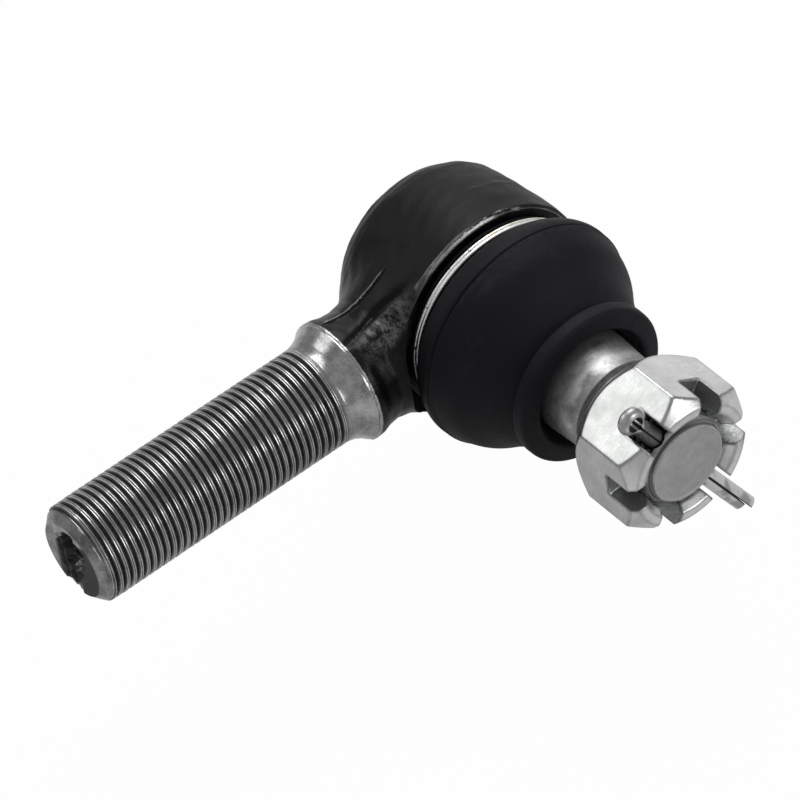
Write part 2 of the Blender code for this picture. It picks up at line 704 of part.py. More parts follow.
def main():
    """Clears the scene and builds every piece."""
    for old in list(bpy.data.objects):
        bpy.data.objects.remove(old, do_unlink=True)

    black_paint = material("black_paint", (0.018, 0.018, 0.019), 0.42, 0.0)
    bright_steel = material("bright_steel", (0.56, 0.56, 0.57), 0.3, 1.0)
    stud_steel = material("stud_steel", (0.47, 0.46, 0.46), 0.34, 1.0)
    zinc = material("zinc_plate", (0.8, 0.81, 0.8), 0.34, 0.9)
    rubber = material("black_rubber", (0.02, 0.02, 0.025), 0.62, 0.0)
    polymer = material("bearing_polymer", (0.78, 0.76, 0.68), 0.5, 0.0)
    spring_steel = material("spring_steel", (0.35, 0.35, 0.36), 0.4, 1.0)

    build_housing(black_paint)
    build_bearing_seat(polymer)
    build_cover(spring_steel)
    build_dust_boot(rubber)
    build_retaining_ring(bright_steel)

    heading = joint_empty("stud_heading_axis")
    carry(heading, build_pressure_seat(polymer), build_spring(spring_steel))
    tilt = joint_empty("stud_tilt_axis", heading)
    carry(tilt, build_lip_insert(spring_steel))
    spin = joint_empty("stud_spin_axis", tilt)
    carry(spin, build_ball_stud(stud_steel), build_castle_nut(zinc))
    pull = joint_empty("cotter_pin_pull_axis", spin)
    carry(pull, build_cotter_pin(zinc))
    for tool in [piece for piece in bpy.data.objects if piece.display_type == "WIRE"]:
        owner = bpy.data.objects["housing"]
        if tool.name.startswith("nut_"):
            owner = bpy.data.objects["castle_nut"]
        if tool.name.startswith("stud_"):
            owner = bpy.data.objects["ball_stud"]
        carry(owner, tool)


main()
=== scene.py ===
"""Looks of the tie rod end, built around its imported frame.

Unless a name ends in _m, lengths are millimetres measured from the ball centre. "Reach" runs along the
stud towards its thread, "run" along the shank towards its thread, and up is +Z.
"""

import logging
import math
from dataclasses import dataclass
from enum import Enum
from typing import Callable, Mapping, Optional, Sequence, Union

import bmesh
import bpy
import numpy as np
from mathutils import Matrix, Vector, noise


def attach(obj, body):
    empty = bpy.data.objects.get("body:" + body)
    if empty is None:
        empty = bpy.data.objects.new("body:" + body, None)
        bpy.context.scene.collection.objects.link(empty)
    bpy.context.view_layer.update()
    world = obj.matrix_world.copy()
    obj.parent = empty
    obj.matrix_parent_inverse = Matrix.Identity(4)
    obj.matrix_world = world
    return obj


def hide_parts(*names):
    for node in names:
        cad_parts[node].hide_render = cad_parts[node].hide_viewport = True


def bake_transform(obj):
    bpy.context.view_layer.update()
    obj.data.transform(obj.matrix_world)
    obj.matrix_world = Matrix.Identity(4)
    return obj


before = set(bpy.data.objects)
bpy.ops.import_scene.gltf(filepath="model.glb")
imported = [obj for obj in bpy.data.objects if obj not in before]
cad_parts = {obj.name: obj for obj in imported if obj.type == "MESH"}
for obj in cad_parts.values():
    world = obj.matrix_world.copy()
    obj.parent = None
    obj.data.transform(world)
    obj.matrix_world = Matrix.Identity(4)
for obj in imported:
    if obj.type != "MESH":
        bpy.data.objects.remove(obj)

LOG = logging.getLogger("tie_rod_end")
MM = 0.001
BALL_CENTRE = Vector((0.0, -0.0205, 0.0))
TO_FRAME = Matrix.Translation(BALL_CENTRE) @ Matrix.Scale(MM, 4)

Colour = tuple[float, float, float]
Outline = list[tuple[float, float]]
Field = Callable[[np.ndarray], np.ndarray]
Amount = Union["Wire", float]


class Axis(Enum):
    """The two turning axes of the part. Both pass through the ball centre."""

    STUD = ((1.0, 0.0, 0.0), (0.0, 0.0, 1.0), (0.0, -1.0, 0.0))
    SHANK = ((0.0, -1.0, 0.0), (0.0, 0.0, 1.0), (-1.0, 0.0, 0.0))

    def place(self) -> Matrix:
        """Turns a shape made along local Z, in millimetres, into its place in the frame, in metres.

        Returns:
            The matrix that does so.
        """
        turn = Matrix(self.value).transposed().to_4x4()
        return TO_FRAME @ turn


class Hand(Enum):
    """Which way a thread climbs."""

    RIGHT = 1.0
    LEFT = -1.0


# ---------------------------------------------------------------- node trees


class Wire:
    """A node's output. Python expressions on it add Math nodes."""

    def __init__(self, tree: "Tree", socket: bpy.types.NodeSocket) -> None:
        """Keeps the output and the tree that it is in."""
        self.tree = tree
        self.socket = socket

    def maths(self, operation: str, *values: Amount, clamp: bool = False) -> "Wire":
        """Adds one Math node.

        Args:
            operation: the node's operation.
            values: its inputs, in order.
            clamp: keeps the result between 0 and 1.

        Returns:
            The node's output.
        """
        settings = {"operation": operation, "use_clamp": clamp}
        return self.tree.node("ShaderNodeMath", settings, dict(enumerate(values)))["Value"]

    def __add__(self, other: Amount) -> "Wire":
        """self + other."""
        return self.maths("ADD", self, other)

    def __radd__(self, other: float) -> "Wire":
        """other + self."""
        return self.maths("ADD", other, self)

    def __sub__(self, other: Amount) -> "Wire":
        """self - other."""
        return self.maths("SUBTRACT", self, other)

    def __rsub__(self, other: float) -> "Wire":
        """other - self."""
        return self.maths("SUBTRACT", other, self)

    def __mul__(self, other: Amount) -> "Wire":
        """self * other."""
        return self.maths("MULTIPLY", self, other)

    def __rmul__(self, other: float) -> "Wire":
        """other * self."""
        return self.maths("MULTIPLY", other, self)

    def __truediv__(self, other: Amount) -> "Wire":
        """self / other."""
        return self.maths("DIVIDE", self, other)

    def __pow__(self, other: Amount) -> "Wire":
        """self to the power of other."""
        return self.maths("POWER", self, other)

    def __neg__(self) -> "Wire":
        """Minus self."""
        return self.maths("MULTIPLY", self, -1.0)

    def __abs__(self) -> "Wire":
        """Distance from zero."""
        return self.maths("ABSOLUTE", self)

    def least(self, other: Amount) -> "Wire":
        """The smaller of the two."""
        return self.maths("MINIMUM", self, other)

    def most(self, other: Amount) -> "Wire":
        """The larger of the two."""
        return self.maths("MAXIMUM", self, other)

    def clamped(self) -> "Wire":
        """Kept between 0 and 1."""
        return self.maths("ADD", self, 0.0, clamp=True)

    def fraction(self) -> "Wire":
        """What is left above the whole number below."""
        return self.maths("FRACT", self)

    def step(self, low: float, high: float) -> "Wire":
        """Rises smoothly from 0 to 1.

        Args:
            low: where it is 0.
            high: where it is 1. It may be the smaller one.

        Returns:
            The share at each place.
        """
        if high < low:
            return 1.0 - self.step(high, low)
        return self.eased(low, high)

    def eased(self, low: Amount, high: Amount, first: Amount = 0.0, last: Amount = 1.0) -> "Wire":
        """Goes smoothly from one value to another.

        Args:
            low: where it has the first value.
            high: where it has the last value.
            first: the value up to low.
            last: the value from high on.

        Returns:
            The value at each place.
        """
        inputs = {"Value": self, "From Min": low, "From Max": high, "To Min": first, "To Max": last}
        return self.tree.node("ShaderNodeMapRange", {"interpolation_type": "SMOOTHSTEP"}, inputs)["Result"]

    def band(self, centre: Amount, half: float) -> "Wire":
        """1 at the centre, fading to 0 half a width away."""
        return abs(self - centre).step(half, 0.0)


class Step:
    """A node whose outputs are read by name."""

    def __init__(self, tree: "Tree", node: bpy.types.Node) -> None:
        """Keeps the node and its tree."""
        self.tree = tree
        self.node = node

    def __getitem__(self, name: Union[str, int]) -> Wire:
        """The output of that name or number."""
        return Wire(self.tree, self.node.outputs[name])


class Tree:
    """Builds the nodes of one material or one Geometry Nodes group."""

    def __init__(self, nodes: bpy.types.NodeTree) -> None:
        """Empties the tree."""
        self.nodes = nodes
        nodes.nodes.clear()

    def node(
        self,
        kind: str,
        settings: Optional[Mapping[str, object]] = None,
        inputs: Optional[Mapping[Union[str, int], object]] = None,
    ) -> Step:
        """Adds one node.

        Args:
            kind: the node's type.
            settings: its properties, set first.
            inputs: the value or the wire of each input, by name or number.

        Returns:
            The node, to read outputs from.
        """
        made = self.nodes.nodes.new(kind)
        for name, value in (settings or {}).items():
            setattr(made, name, value)
        for name, value in (inputs or {}).items():
            socket = made.inputs[name]
            if isinstance(value, Wire):
                self.nodes.links.new(value.socket, socket)
            else:
                socket.default_value = value
        return Step(self, made)

    def wave(self, place: Wire, scale: float, detail: float = 3.0, rough: float = 0.55) -> Wire:
        """Fractal noise between 0 and 1 at a place."""
        inputs = {"Vector": place, "Scale": scale, "Detail": detail, "Roughness": rough}
        return self.node("ShaderNodeTexNoise", {}, inputs)["Fac"]

    def stretched(self, place: Wire, scale: Sequence[float], shift: Sequence[float] = (0, 0, 0)) -> Wire:
        """The place with each direction scaled, then shifted."""
        inputs = {"Vector": place, "Scale": scale, "Location": shift}
        return self.node("ShaderNodeMapping", {}, inputs)["Vector"]

    def joined(self, x: Amount, y: Amount, z: Amount) -> Wire:
        """A vector from three numbers."""
        return self.node("ShaderNodeCombineXYZ", {}, {"X": x, "Y": y, "Z": z})["Vector"]

    def blend(self, share: Wire, first: Union[Wire, Colour], second: Union[Wire, Colour]) -> Wire:
        """A colour between two.

        Args:
            share: how much of the second it has.
            first: the colour at 0.
            second: the colour at 1.

        Returns:
            The mixed colour.
        """
        ends = [value if isinstance(value, Wire) else (*value, 1.0) for value in (first, second)]
        return self.node("ShaderNodeMix", {"data_type": "RGBA"}, {0: share, 6: ends[0], 7: ends[1]})[2]


class Skin(Tree):
    """A material's nodes, with the places on this part that its patterns follow."""

    def __init__(self, name: str, metal: float, attribute: str = "") -> None:
        """Starts a Principled material.

        Args:
            name: the finish's name.
            metal: 1 for bare or plated metal, 0 for the rest.
            attribute: a stored place at rest, for a piece that bends. Otherwise Object coordinates serve.
        """
        self.material = bpy.data.materials.new(name)
        self.material.use_nodes = True
        super().__init__(self.material.node_tree)
        self.shader = self.node("ShaderNodeBsdfPrincipled", {}, {"Metallic": metal})
        self.node("ShaderNodeOutputMaterial", {}, {"Surface": self.shader["BSDF"]})
        if attribute:
            self.place = self.node("ShaderNodeAttribute", {"attribute_name": attribute})["Vector"]
        else:
            shift = tuple(-BALL_CENTRE / MM)
            objects = self.node("ShaderNodeTexCoord")["Object"]
            self.place = self.stretched(objects, (1 / MM,) * 3, shift)
        apart = self.node("ShaderNodeSeparateXYZ", {}, {0: self.place})
        self.x, self.y, self.z = apart["X"], apart["Y"], apart["Z"]

    def reach(self) -> Wire:
        """Distance along the stud."""
        return -self.y

    def run(self) -> Wire:
        """Distance along the shank."""
        return -self.x

    def off_stud(self) -> Wire:
        """Distance from the stud's axis."""
        return (self.x * self.x + self.z * self.z) ** 0.5

    def off_shank(self) -> Wire:
        """Distance from the shank's axis."""
        return (self.y * self.y + self.z * self.z) ** 0.5

    def round_stud(self) -> Wire:
        """Angle round the stud in degrees, from +X towards +Z."""
        return self.z.maths("ARCTAN2", self.z, self.x) * (180 / math.pi)

    def round_shank(self) -> Wire:
        """Angle round the shank in degrees, from -Y towards +Z."""
        return self.z.maths("ARCTAN2", self.z, -self.y) * (180 / math.pi)

    def stored(self, name: str) -> Wire:
        """A number stored for each point of the piece."""
        return self.node("ShaderNodeAttribute", {"attribute_name": name})["Fac"]

    def bump(self, height: Wire, distance: float, before: Optional[Wire] = None) -> Wire:
        """A normal from a height field.

        Args:
            height: 0 to 1 over the surface.
            distance: how high 1 stands, in millimetres.
            before: a normal to add to.

        Returns:
            The bumped normal.
        """
        inputs = {"Height": height, "Strength": 1.0, "Distance": distance * MM}
        if before:
            inputs["Normal"] = before
        return self.node("ShaderNodeBump", {}, inputs)["Normal"]

    def dress(self, **sockets: Union[Wire, float, Colour]) -> bpy.types.Material:
        """Feeds the Principled shader.

        Args:
            sockets: values or wires by socket name, with _ for each space.

        Returns:
            The finished material.
        """
        for name, value in sockets.items():
            socket = self.shader.node.inputs[name.replace("_", " ")]
            if isinstance(value, Wire):
                self.nodes.links.new(value.socket, socket)
            elif isinstance(value, tuple):
                socket.default_value = (*value, 1.0)
            else:
                socket.default_value = value
        return self.material


# ---------------------------------------------------------------- mesh making


def rounded(corners: Sequence[tuple[float, float, float]]) -> Outline:
    """Rounds an outline's corners.

    Args:
        corners: (radius, distance, rounding) of each corner. A rounding of 0 keeps it sharp.

    Returns:
        The outline as points.
    """
    points: Outline = []
    for number, (radius, distance, rounding) in enumerate(corners):
        here = np.array((radius, distance))
        if rounding <= 0:
            points.append((radius, distance))
            continue
        back = np.array(corners[number - 1][:2]) - here
        ahead = np.array(corners[number + 1][:2]) - here
        long_back, long_ahead = np.linalg.norm(back), np.linalg.norm(ahead)
        back, ahead = back / long_back, ahead / long_ahead
        half = math.acos(float(np.clip(back @ ahead, -1, 1))) / 2
        cut = min(rounding / math.tan(half), 0.48 * long_back, 0.48 * long_ahead)
        bend = cut * math.tan(half)
        middle = here + (back + ahead) / np.linalg.norm(back + ahead) * bend / math.sin(half)
        first, last = here + back * cut - middle, here + ahead * cut - middle
        sweep = math.pi - 2 * half
        steps = min(8, max(2, math.ceil(sweep * bend / 0.15)))
        for step in range(steps + 1):
            t = step / steps
            spot = (math.sin((1 - t) * sweep) * first + math.sin(t * sweep) * last) / math.sin(sweep) + middle
            points.append((float(spot[0]), float(spot[1])))
    return points


def smooth_through(points: Sequence[tuple[float, float]], steps: int) -> Outline:
    """A smooth curve through outline points.

    Args:
        points: the points it passes.
        steps: short lines between each pair.

    Returns:
        The curve as points.
    """
    ends = [points[0], *points, points[-1]]
    curve: Outline = []
    for before, start, stop, after in zip(ends, ends[1:], ends[2:], ends[3:]):
        for step in range(steps):
            t = step / steps
            curve.append(tuple(
                0.5 * (2 * b + (c - a) * t + (2 * a - 5 * b + 4 * c - d) * t**2 + (3 * b - a - 3 * c + d) * t**3)
                for a, b, c, d in zip(before, start, stop, after)
            ))
    curve.append(points[-1])
    return curve


def settle(mesh: bpy.types.Mesh, place: Matrix, crisp: float) -> bpy.types.Mesh:
    """Puts a closed mesh in its place, facing outwards.

    Args:
        mesh: the mesh in millimetres.
        place: puts it into the frame.
        crisp: edges that bend by more degrees than this stay sharp.

    Returns:
        The same mesh.
    """
    mesh.transform(place)
    cleaned = bmesh.new()
    cleaned.from_mesh(mesh)
    bmesh.ops.recalc_face_normals(cleaned, faces=cleaned.faces)
    cleaned.to_mesh(mesh)
    cleaned.free()
    mesh.shade_smooth()
    if crisp < 180:
        mesh.set_sharp_from_angle(angle=math.radians(crisp))
    return mesh


def turned(
    name: str, outline: Outline, place: Matrix, steps: int = 144, closed: bool = False, gap: Optional[int] = None
) -> bpy.types.Mesh:
    """A turned mesh about local Z.

    Args:
        name: the mesh's name.
        outline: (radius, distance) points. An open outline starts and ends at radius 0.
        place: moves it, as for a cutter.
        steps: points round each ring.
        closed: joins the outline's last point to its first, for a ring.
        gap: the ring after which the skin is left open, for a thread.

    Returns:
        The mesh.
    """
    rings = outline if closed else outline[1:-1]
    angles = np.arange(steps) * 2 * math.pi / steps
    circle = np.stack((np.cos(angles), np.sin(angles)), axis=1)
    points = [np.column_stack((circle * radius, np.full(steps, distance))) for radius, distance in rings]
    here, after = np.arange(steps), np.roll(np.arange(steps), -1)
    pairs = [(number, number + 1) for number in range(len(rings) - 1) if number != gap]
    if closed:
        pairs.append((len(rings) - 1, 0))
    faces: list[Sequence[int]] = []
    for one, other in pairs:
        low, high = one * steps, other * steps
        faces += np.stack((low + here, low + after, high + after, high + here), axis=1).tolist()
    if not closed:
        points.append(np.array([(0.0, 0.0, outline[0][1]), (0.0, 0.0, outline[-1][1])]))
        pole, last = len(rings) * steps, (len(rings) - 1) * steps
        faces += [(pole, int(after[i]), i) for i in range(steps)]
        faces += [(pole + 1, last + i, last + int(after[i])) for i in range(steps)]
    mesh = bpy.data.meshes.new(name)
    mesh.from_pydata(np.concatenate(points).tolist(), [], faces)
    if gap is None:
        settle(mesh, place, 180)
    return mesh


def soft_max(one: np.ndarray, other: np.ndarray, soft: float) -> np.ndarray:
    """What two shapes share, as signed distances, with their common edge rounded.

    Args:
        one: the distance to one shape at each point.
        other: the distance to the other.
        soft: how wide the rounding is.

    Returns:
        The distance to what they share.
    """
    share = np.clip(0.5 + 0.5 * (one - other) / soft, 0.0, 1.0)
    return other + (one - other) * share + soft * share * (1 - share)


def soft_min(one: np.ndarray, other: np.ndarray, soft: float) -> np.ndarray:
    """Two shapes joined, as signed distances, with a fillet between them."""
    return -soft_max(-one, -other, soft)


def slope(field: Field, points: np.ndarray) -> np.ndarray:
    """The direction in which a field grows.

    Args:
        field: the field.
        points: where to look.

    Returns:
        The growth along each axis at each point.
    """
    reach = 0.02
    steps = np.eye(3) * reach
    return np.stack([(field(points + step) - field(points - step)) / (2 * reach) for step in steps], axis=1)


def stands_out(field: Field, points: np.ndarray, reach: float) -> np.ndarray:
    """How far points stand out of the surface round them.

    Args:
        field: the signed distance to the shape.
        points: places on its surface.
        reach: how far away the surface is felt.

    Returns:
        The mean distance there, less the distance at each point.
    """
    around = sum(field(points + sign * reach * step) for step in np.eye(3) for sign in (-1, 1)) / 6
    return around - field(points)


def surface_net(name: str, field: Field, low: Sequence[float], high: Sequence[float], cell: float) -> bpy.types.Mesh:
    """The surface on which a signed distance is zero, as a mesh of quads whose points lie on it.

    Args:
        name: the mesh's name.
        field: the signed distance at each point, negative inside.
        low: the box's lowest corner.
        high: its highest corner.
        cell: the grid's step.

    Returns:
        The mesh, whose faces turn outwards.
    """
    axes = [np.arange(start, stop + cell, cell) for start, stop in zip(low, high)]
    grid = np.stack(np.meshgrid(*axes, indexing="ij"), axis=-1)
    value = field(grid.reshape(-1, 3)).reshape(grid.shape[:3])
    inside = value < 0
    shape = tuple(size - 1 for size in inside.shape)
    count = np.zeros(shape, dtype=int)
    for i, j, k in np.ndindex(2, 2, 2):
        count += inside[i:i + shape[0], j:j + shape[1], k:k + shape[2]]
    active = (count > 0) & (count < 8)
    index = np.argwhere(active)
    number = np.full(shape, -1)
    number[active] = np.arange(len(index))

    total, crossings = np.zeros((len(index), 3)), np.zeros(len(index))
    for axis in range(3):
        along = np.eye(3, dtype=int)[axis]
        for side in np.ndindex(2, 2):
            offset = np.insert(np.array(side), axis, 0)
            start, stop = index + offset, index + offset + along
            first, last = value[tuple(start.T)], value[tuple(stop.T)]
            crossed = (first < 0) != (last < 0)
            share = np.where(crossed, first / np.where(crossed, first - last, 1.0), 0.0)
            total += np.where(crossed[:, None], start + share[:, None] * along, 0.0)
            crossings += crossed
    start = np.array(low) + index * cell
    points = np.array(low) + total / crossings[:, None] * cell
    for _ in range(5):
        grow = slope(field, points)
        points = points - grow * (field(points) / np.maximum((grow**2).sum(axis=1), 0.1))[:, None]
        points = np.clip(points, start - 0.1 * cell, start + 1.1 * cell)

    faces = []
    for axis in range(3):
        second, third = (axis + 1) % 3, (axis + 2) % 3
        before = inside.take(range(inside.shape[axis] - 1), axis=axis)
        after = inside.take(range(1, inside.shape[axis]), axis=axis)
        edges = np.argwhere(before != after)
        around = []
        for back, aside in ((-1, -1), (0, -1), (0, 0), (-1, 0)):
            cells = edges.copy()
            cells[:, second] += back
            cells[:, third] += aside
            around.append(number[tuple(cells.T)])
        quads = np.stack(around, axis=1)
        leaving = inside[tuple(edges.T)]
        faces += quads[leaving].tolist() + quads[~leaving][:, ::-1].tolist()
    mesh = bpy.data.meshes.new(name)
    mesh.from_pydata(points.tolist(), [], faces)
    return mesh


def places_of(mesh: bpy.types.Mesh) -> np.ndarray:
    """Where a finished mesh's points lie.

    Args:
        mesh: the mesh, in its place in the frame.

    Returns:
        The points in millimetres from the ball centre.
    """
    points = np.zeros(len(mesh.vertices) * 3)
    mesh.vertices.foreach_get("co", points)
    return (points.reshape(-1, 3) - np.array(BALL_CENTRE)) / MM


def store(mesh: bpy.types.Mesh, name: str, values: np.ndarray) -> None:
    """Stores a number or a place for each point, for a finish to read.

    Args:
        mesh: the mesh.
        name: the attribute's name.
        values: one row for each point.
    """
    kind, key = ("FLOAT", "value") if values.ndim == 1 else ("FLOAT_VECTOR", "vector")
    mesh.attributes.new(name, kind, "POINT").data.foreach_set(key, values.astype(np.float32).ravel())


def add_piece(mesh: bpy.types.Mesh, body: str, slot: str, finish: bpy.types.Material, *nodes: str) -> bpy.types.Object:
    """Hangs a finished mesh on its body.

    Args:
        mesh: the mesh, in its place in the frame.
        body: the CAD body that carries it.
        slot: the record's material slot; not used.
        finish: its material.
        nodes: the CAD nodes that it stands for.

    Returns:
        The new piece.
    """
    piece = bpy.data.objects.new(mesh.name, mesh)
    bpy.context.scene.collection.objects.link(piece)
    mesh.materials.clear()
    mesh.materials.append(finish)
    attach(piece, body)
    if nodes:
        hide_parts(*nodes)
    LOG.info("%s: %d points, on %s", piece.name, len(mesh.vertices), body)
    return piece


def by_modifier(mesh: bpy.types.Mesh, add: Callable[[bpy.types.Object], None]) -> bpy.types.Mesh:
    """Runs modifiers on a mesh and keeps the result.

    Args:
        mesh: the mesh to start from.
        add: puts the modifiers on an object that holds it.

    Returns:
        The evaluated mesh, under the same name.
    """
    holder = bpy.data.objects.new(mesh.name, mesh)
    bpy.context.scene.collection.objects.link(holder)
    add(holder)
    graph = bpy.context.evaluated_depsgraph_get()
    made = bpy.data.meshes.new_from_object(holder.evaluated_get(graph))
    name = mesh.name
    bpy.data.objects.remove(holder)
    bpy.data.meshes.remove(mesh)
    made.name = name
    made.shade_smooth()
    return made


def cut(body: bpy.types.Mesh, tool: bpy.types.Mesh) -> bpy.types.Mesh:
    """Cuts a closed tool out of a closed mesh.

    Args:
        body: what is cut.
        tool: what it is cut with.

    Returns:
        The cut mesh, under the body's name.
    """
    cutter = bpy.data.objects.new(tool.name, tool)
    bpy.context.scene.collection.objects.link(cutter)

    def add(holder: bpy.types.Object) -> None:
        """Puts the Boolean on an object.

        Args:
            holder: the object.
        """
        boolean = holder.modifiers.new("cut", "BOOLEAN")
        boolean.operation = "DIFFERENCE"
        boolean.solver = "EXACT"
        boolean.object = cutter

    made = by_modifier(body, add)
    bpy.data.objects.remove(cutter)
    bpy.data.meshes.remove(tool)
    return made


def thread_rows(length: float, pitch: float, rows_per_turn: int) -> int:
    """How many rows of points cover a thread of this length."""
    return rows_per_turn * (math.ceil(length / pitch) + 2) + 1


# ---------------------------------------------------------------- Geometry Nodes


class Recipe(Tree):
    """A Geometry Nodes group whose inputs are the sizes of one kind of shape."""

    def __init__(self, name: str, sizes: Mapping[str, float]) -> None:
        """Starts the group.

        Args:
            name: the group's name.
            sizes: the name and usual value of each input.
        """
        self.group = bpy.data.node_groups.new(name, "GeometryNodeTree")
        super().__init__(self.group)
        self.group.interface.new_socket("Geometry", in_out="INPUT", socket_type="NodeSocketGeometry")
        self.group.interface.new_socket("Geometry", in_out="OUTPUT", socket_type="NodeSocketGeometry")
        self.keys: dict[str, str] = {}
        self.kinds: dict[str, type] = {}
        for size, value in sizes.items():
            kind = "NodeSocketInt" if isinstance(value, int) else "NodeSocketFloat"
            socket = self.group.interface.new_socket(size, in_out="INPUT", socket_type=kind)
            socket.default_value = value
            self.keys[size] = socket.identifier
            self.kinds[size] = type(value)
        finish = self.group.interface.new_socket("Finish", in_out="INPUT", socket_type="NodeSocketMaterial")
        self.keys["Finish"] = finish.identifier
        self.given = self.node("NodeGroupInput")

    def close(self, geometry: Wire) -> "Recipe":
        """Ends the group with Realize Instances and Set Material.

        Args:
            geometry: the shape.

        Returns:
            The recipe itself.
        """
        real = self.node("GeometryNodeRealizeInstances", {}, {"Geometry": geometry})["Geometry"]
        dressed = self.node("GeometryNodeSetMaterial", {}, {"Geometry": real, "Material": self.given["Finish"]})
        self.node("NodeGroupOutput", {}, {"Geometry": dressed["Geometry"]})
        return self

    def run(self, mesh: bpy.types.Mesh, finish: bpy.types.Material, **sizes: float) -> bpy.types.Mesh:
        """Makes the shape.

        Args:
            mesh: what the group starts from.
            finish: the material that it sets.
            sizes: its inputs by name, with _ for each space.

        Returns:
            The plain mesh that comes out.
        """

        def add(holder: bpy.types.Object) -> None:
            """Puts the group on an object.

            Args:
                holder: the object.
            """
            modifier = holder.modifiers.new(self.group.name, "NODES")
            modifier.node_group = self.group
            modifier[self.keys["Finish"]] = finish
            for name, value in sizes.items():
                size = name.replace("_", " ")
                modifier[self.keys[size]] = self.kinds[size](value)

        return by_modifier(mesh, add)


def thread_recipe() -> Recipe:
    """A helical thread about local Z. Its rows climb with the helix, so that each crest is a clean edge.

    Returns:
        The recipe. It joins the thread to the open rings of the bar that it starts from.
    """
    sizes = {
        "Radius": 10.0, "First Radius": 10.0, "Last Radius": 9.0, "Lead": 0.4, "Chamfer": 1.0, "Depth": 0.75,
        "Pitch": 1.5, "Start": 0.0, "End": 10.0, "Runout": 1.5, "Hand": 1.0, "Crest": 0.4, "Root": 0.74,
        "Seam": 0.05, "Wobble": 0.03, "Columns": 120, "Rows": 100, "Rows Per Turn": 12,
    }
    recipe = Recipe("helical_thread", sizes)
    given = recipe.given
    counts = {"Size X": 1.0, "Size Y": 1.0, "Vertices X": given["Columns"] + 1.0, "Vertices Y": given["Rows"]}
    grid = recipe.node("GeometryNodeMeshGrid", {}, counts)["Mesh"]
    place = recipe.node("GeometryNodeInputPosition")["Position"]
    apart = recipe.node("ShaderNodeSeparateXYZ", {}, {0: place})
    turn = apart["X"] + 0.5
    row = (apart["Y"] + 0.5) * (given["Rows"] - 1.0) / given["Rows Per Turn"]
    along = given["Start"] + (row - 1.0 + turn * given["Hand"]) * given["Pitch"]
    along = along.most(given["Start"]).least(given["End"])
    off_crest = abs((row + 0.5).fraction() - 0.5) * 2.0
    groove = off_crest.eased(given["Crest"], given["Root"])
    seam = off_crest.step(0.2, 0.0) * given["Seam"]
    fade = along.eased(given["Start"], given["Start"] + given["Runout"])
    angle = turn * (2 * math.pi)
    round_it = recipe.joined(angle.maths("COSINE", angle) * 9.0, angle.maths("SINE", angle) * 9.0, along)
    wobble = (recipe.wave(round_it, 0.5, 3.0) - 0.5) * given["Wobble"]
    lead = given["First Radius"] + (given["Radius"] - given["First Radius"]) * (along - given["Start"]) / given["Lead"]
    tail = given["Last Radius"] + (given["Radius"] - given["Last Radius"]) * (given["End"] - along) / given["Chamfer"]
    radius = (given["Radius"] - (groove * given["Depth"] + seam - wobble) * fade).least(lead).least(tail)
    wrapped = recipe.joined(angle.maths("COSINE", angle) * radius, angle.maths("SINE", angle) * radius, along)
    thread = recipe.node("GeometryNodeSetPosition", {}, {"Geometry": grid, "Position": wrapped})["Geometry"]
    joined = recipe.node("GeometryNodeJoinGeometry")
    for part in (thread, given["Geometry"]):
        recipe.nodes.links.new(part.socket, joined.node.inputs[0])
    merged = recipe.node("GeometryNodeMergeByDistance", {}, {"Geometry": joined["Geometry"], "Distance": 0.004})
    return recipe.close(merged["Geometry"])


def coil_recipe() -> Recipe:
    """Round wire wound into a coil about local Z.

    Returns:
        The recipe. Each end's radius and height are its inputs.
    """
    sizes = {"Turns": 2.0, "First Radius": 5.0, "Last Radius": 5.0, "First Height": 0.0, "Rise": 3.0, "Wire": 0.5}
    recipe = Recipe("wound_wire", sizes)
    given = recipe.given
    spiral = recipe.node("GeometryNodeCurveSpiral", {}, {
        "Resolution": 96, "Rotations": given["Turns"], "Start Radius": given["First Radius"],
        "End Radius": given["Last Radius"], "Height": given["Rise"],
    })["Curve"]
    section = recipe.node("GeometryNodeCurvePrimitiveCircle", {}, {"Resolution": 14, "Radius": given["Wire"]})["Curve"]
    inputs = {"Curve": spiral, "Profile Curve": section, "Fill Caps": True}
    wire = recipe.node("GeometryNodeCurveToMesh", {}, inputs)["Mesh"]
    shift = recipe.joined(0.0, 0.0, given["First Height"])
    lifted = recipe.node("GeometryNodeTransform", {}, {"Geometry": wire, "Translation": shift})["Geometry"]
    return recipe.close(lifted)


def half_round_recipe() -> Recipe:
    """Half-round wire drawn along a flat path in the local XY plane.

    Returns:
        The recipe. The wire's flat side lies on the path.
    """
    recipe = Recipe("half_round_wire", {"Wire": 1.75, "Eye Start": 12.0, "Eye Share": 0.74})
    given = recipe.given
    path = recipe.node("GeometryNodeMeshToCurve", {}, {"Mesh": given["Geometry"]})["Curve"]
    place = recipe.node("GeometryNodeInputPosition")["Position"]
    along = recipe.node("ShaderNodeSeparateXYZ", {}, {0: place})["X"]
    thinned = along.eased(given["Eye Start"], given["Eye Start"] + 3.0, 1.0, given["Eye Share"])
    path = recipe.node("GeometryNodeSetCurveRadius", {}, {"Curve": path, "Radius": thinned})["Curve"]
    upright = recipe.node("GeometryNodeSetCurveNormal", {"mode": "Z_UP"}, {"Curve": path})["Curve"]
    arc = recipe.node("GeometryNodeCurveArc", {}, {
        "Resolution": 17, "Radius": given["Wire"], "Start Angle": 0.0, "Sweep Angle": math.pi, "Connect Center": True,
    })["Curve"]
    flat = recipe.node("GeometryNodeTransform", {}, {
        "Geometry": arc, "Rotation": (0.0, 0.0, math.pi / 2),
    })["Geometry"]
    inputs = {"Curve": upright, "Profile Curve": flat, "Fill Caps": True, "Scale": thinned}
    return recipe.close(recipe.node("GeometryNodeCurveToMesh", {}, inputs)["Mesh"])


# ---------------------------------------------------------------- finishes


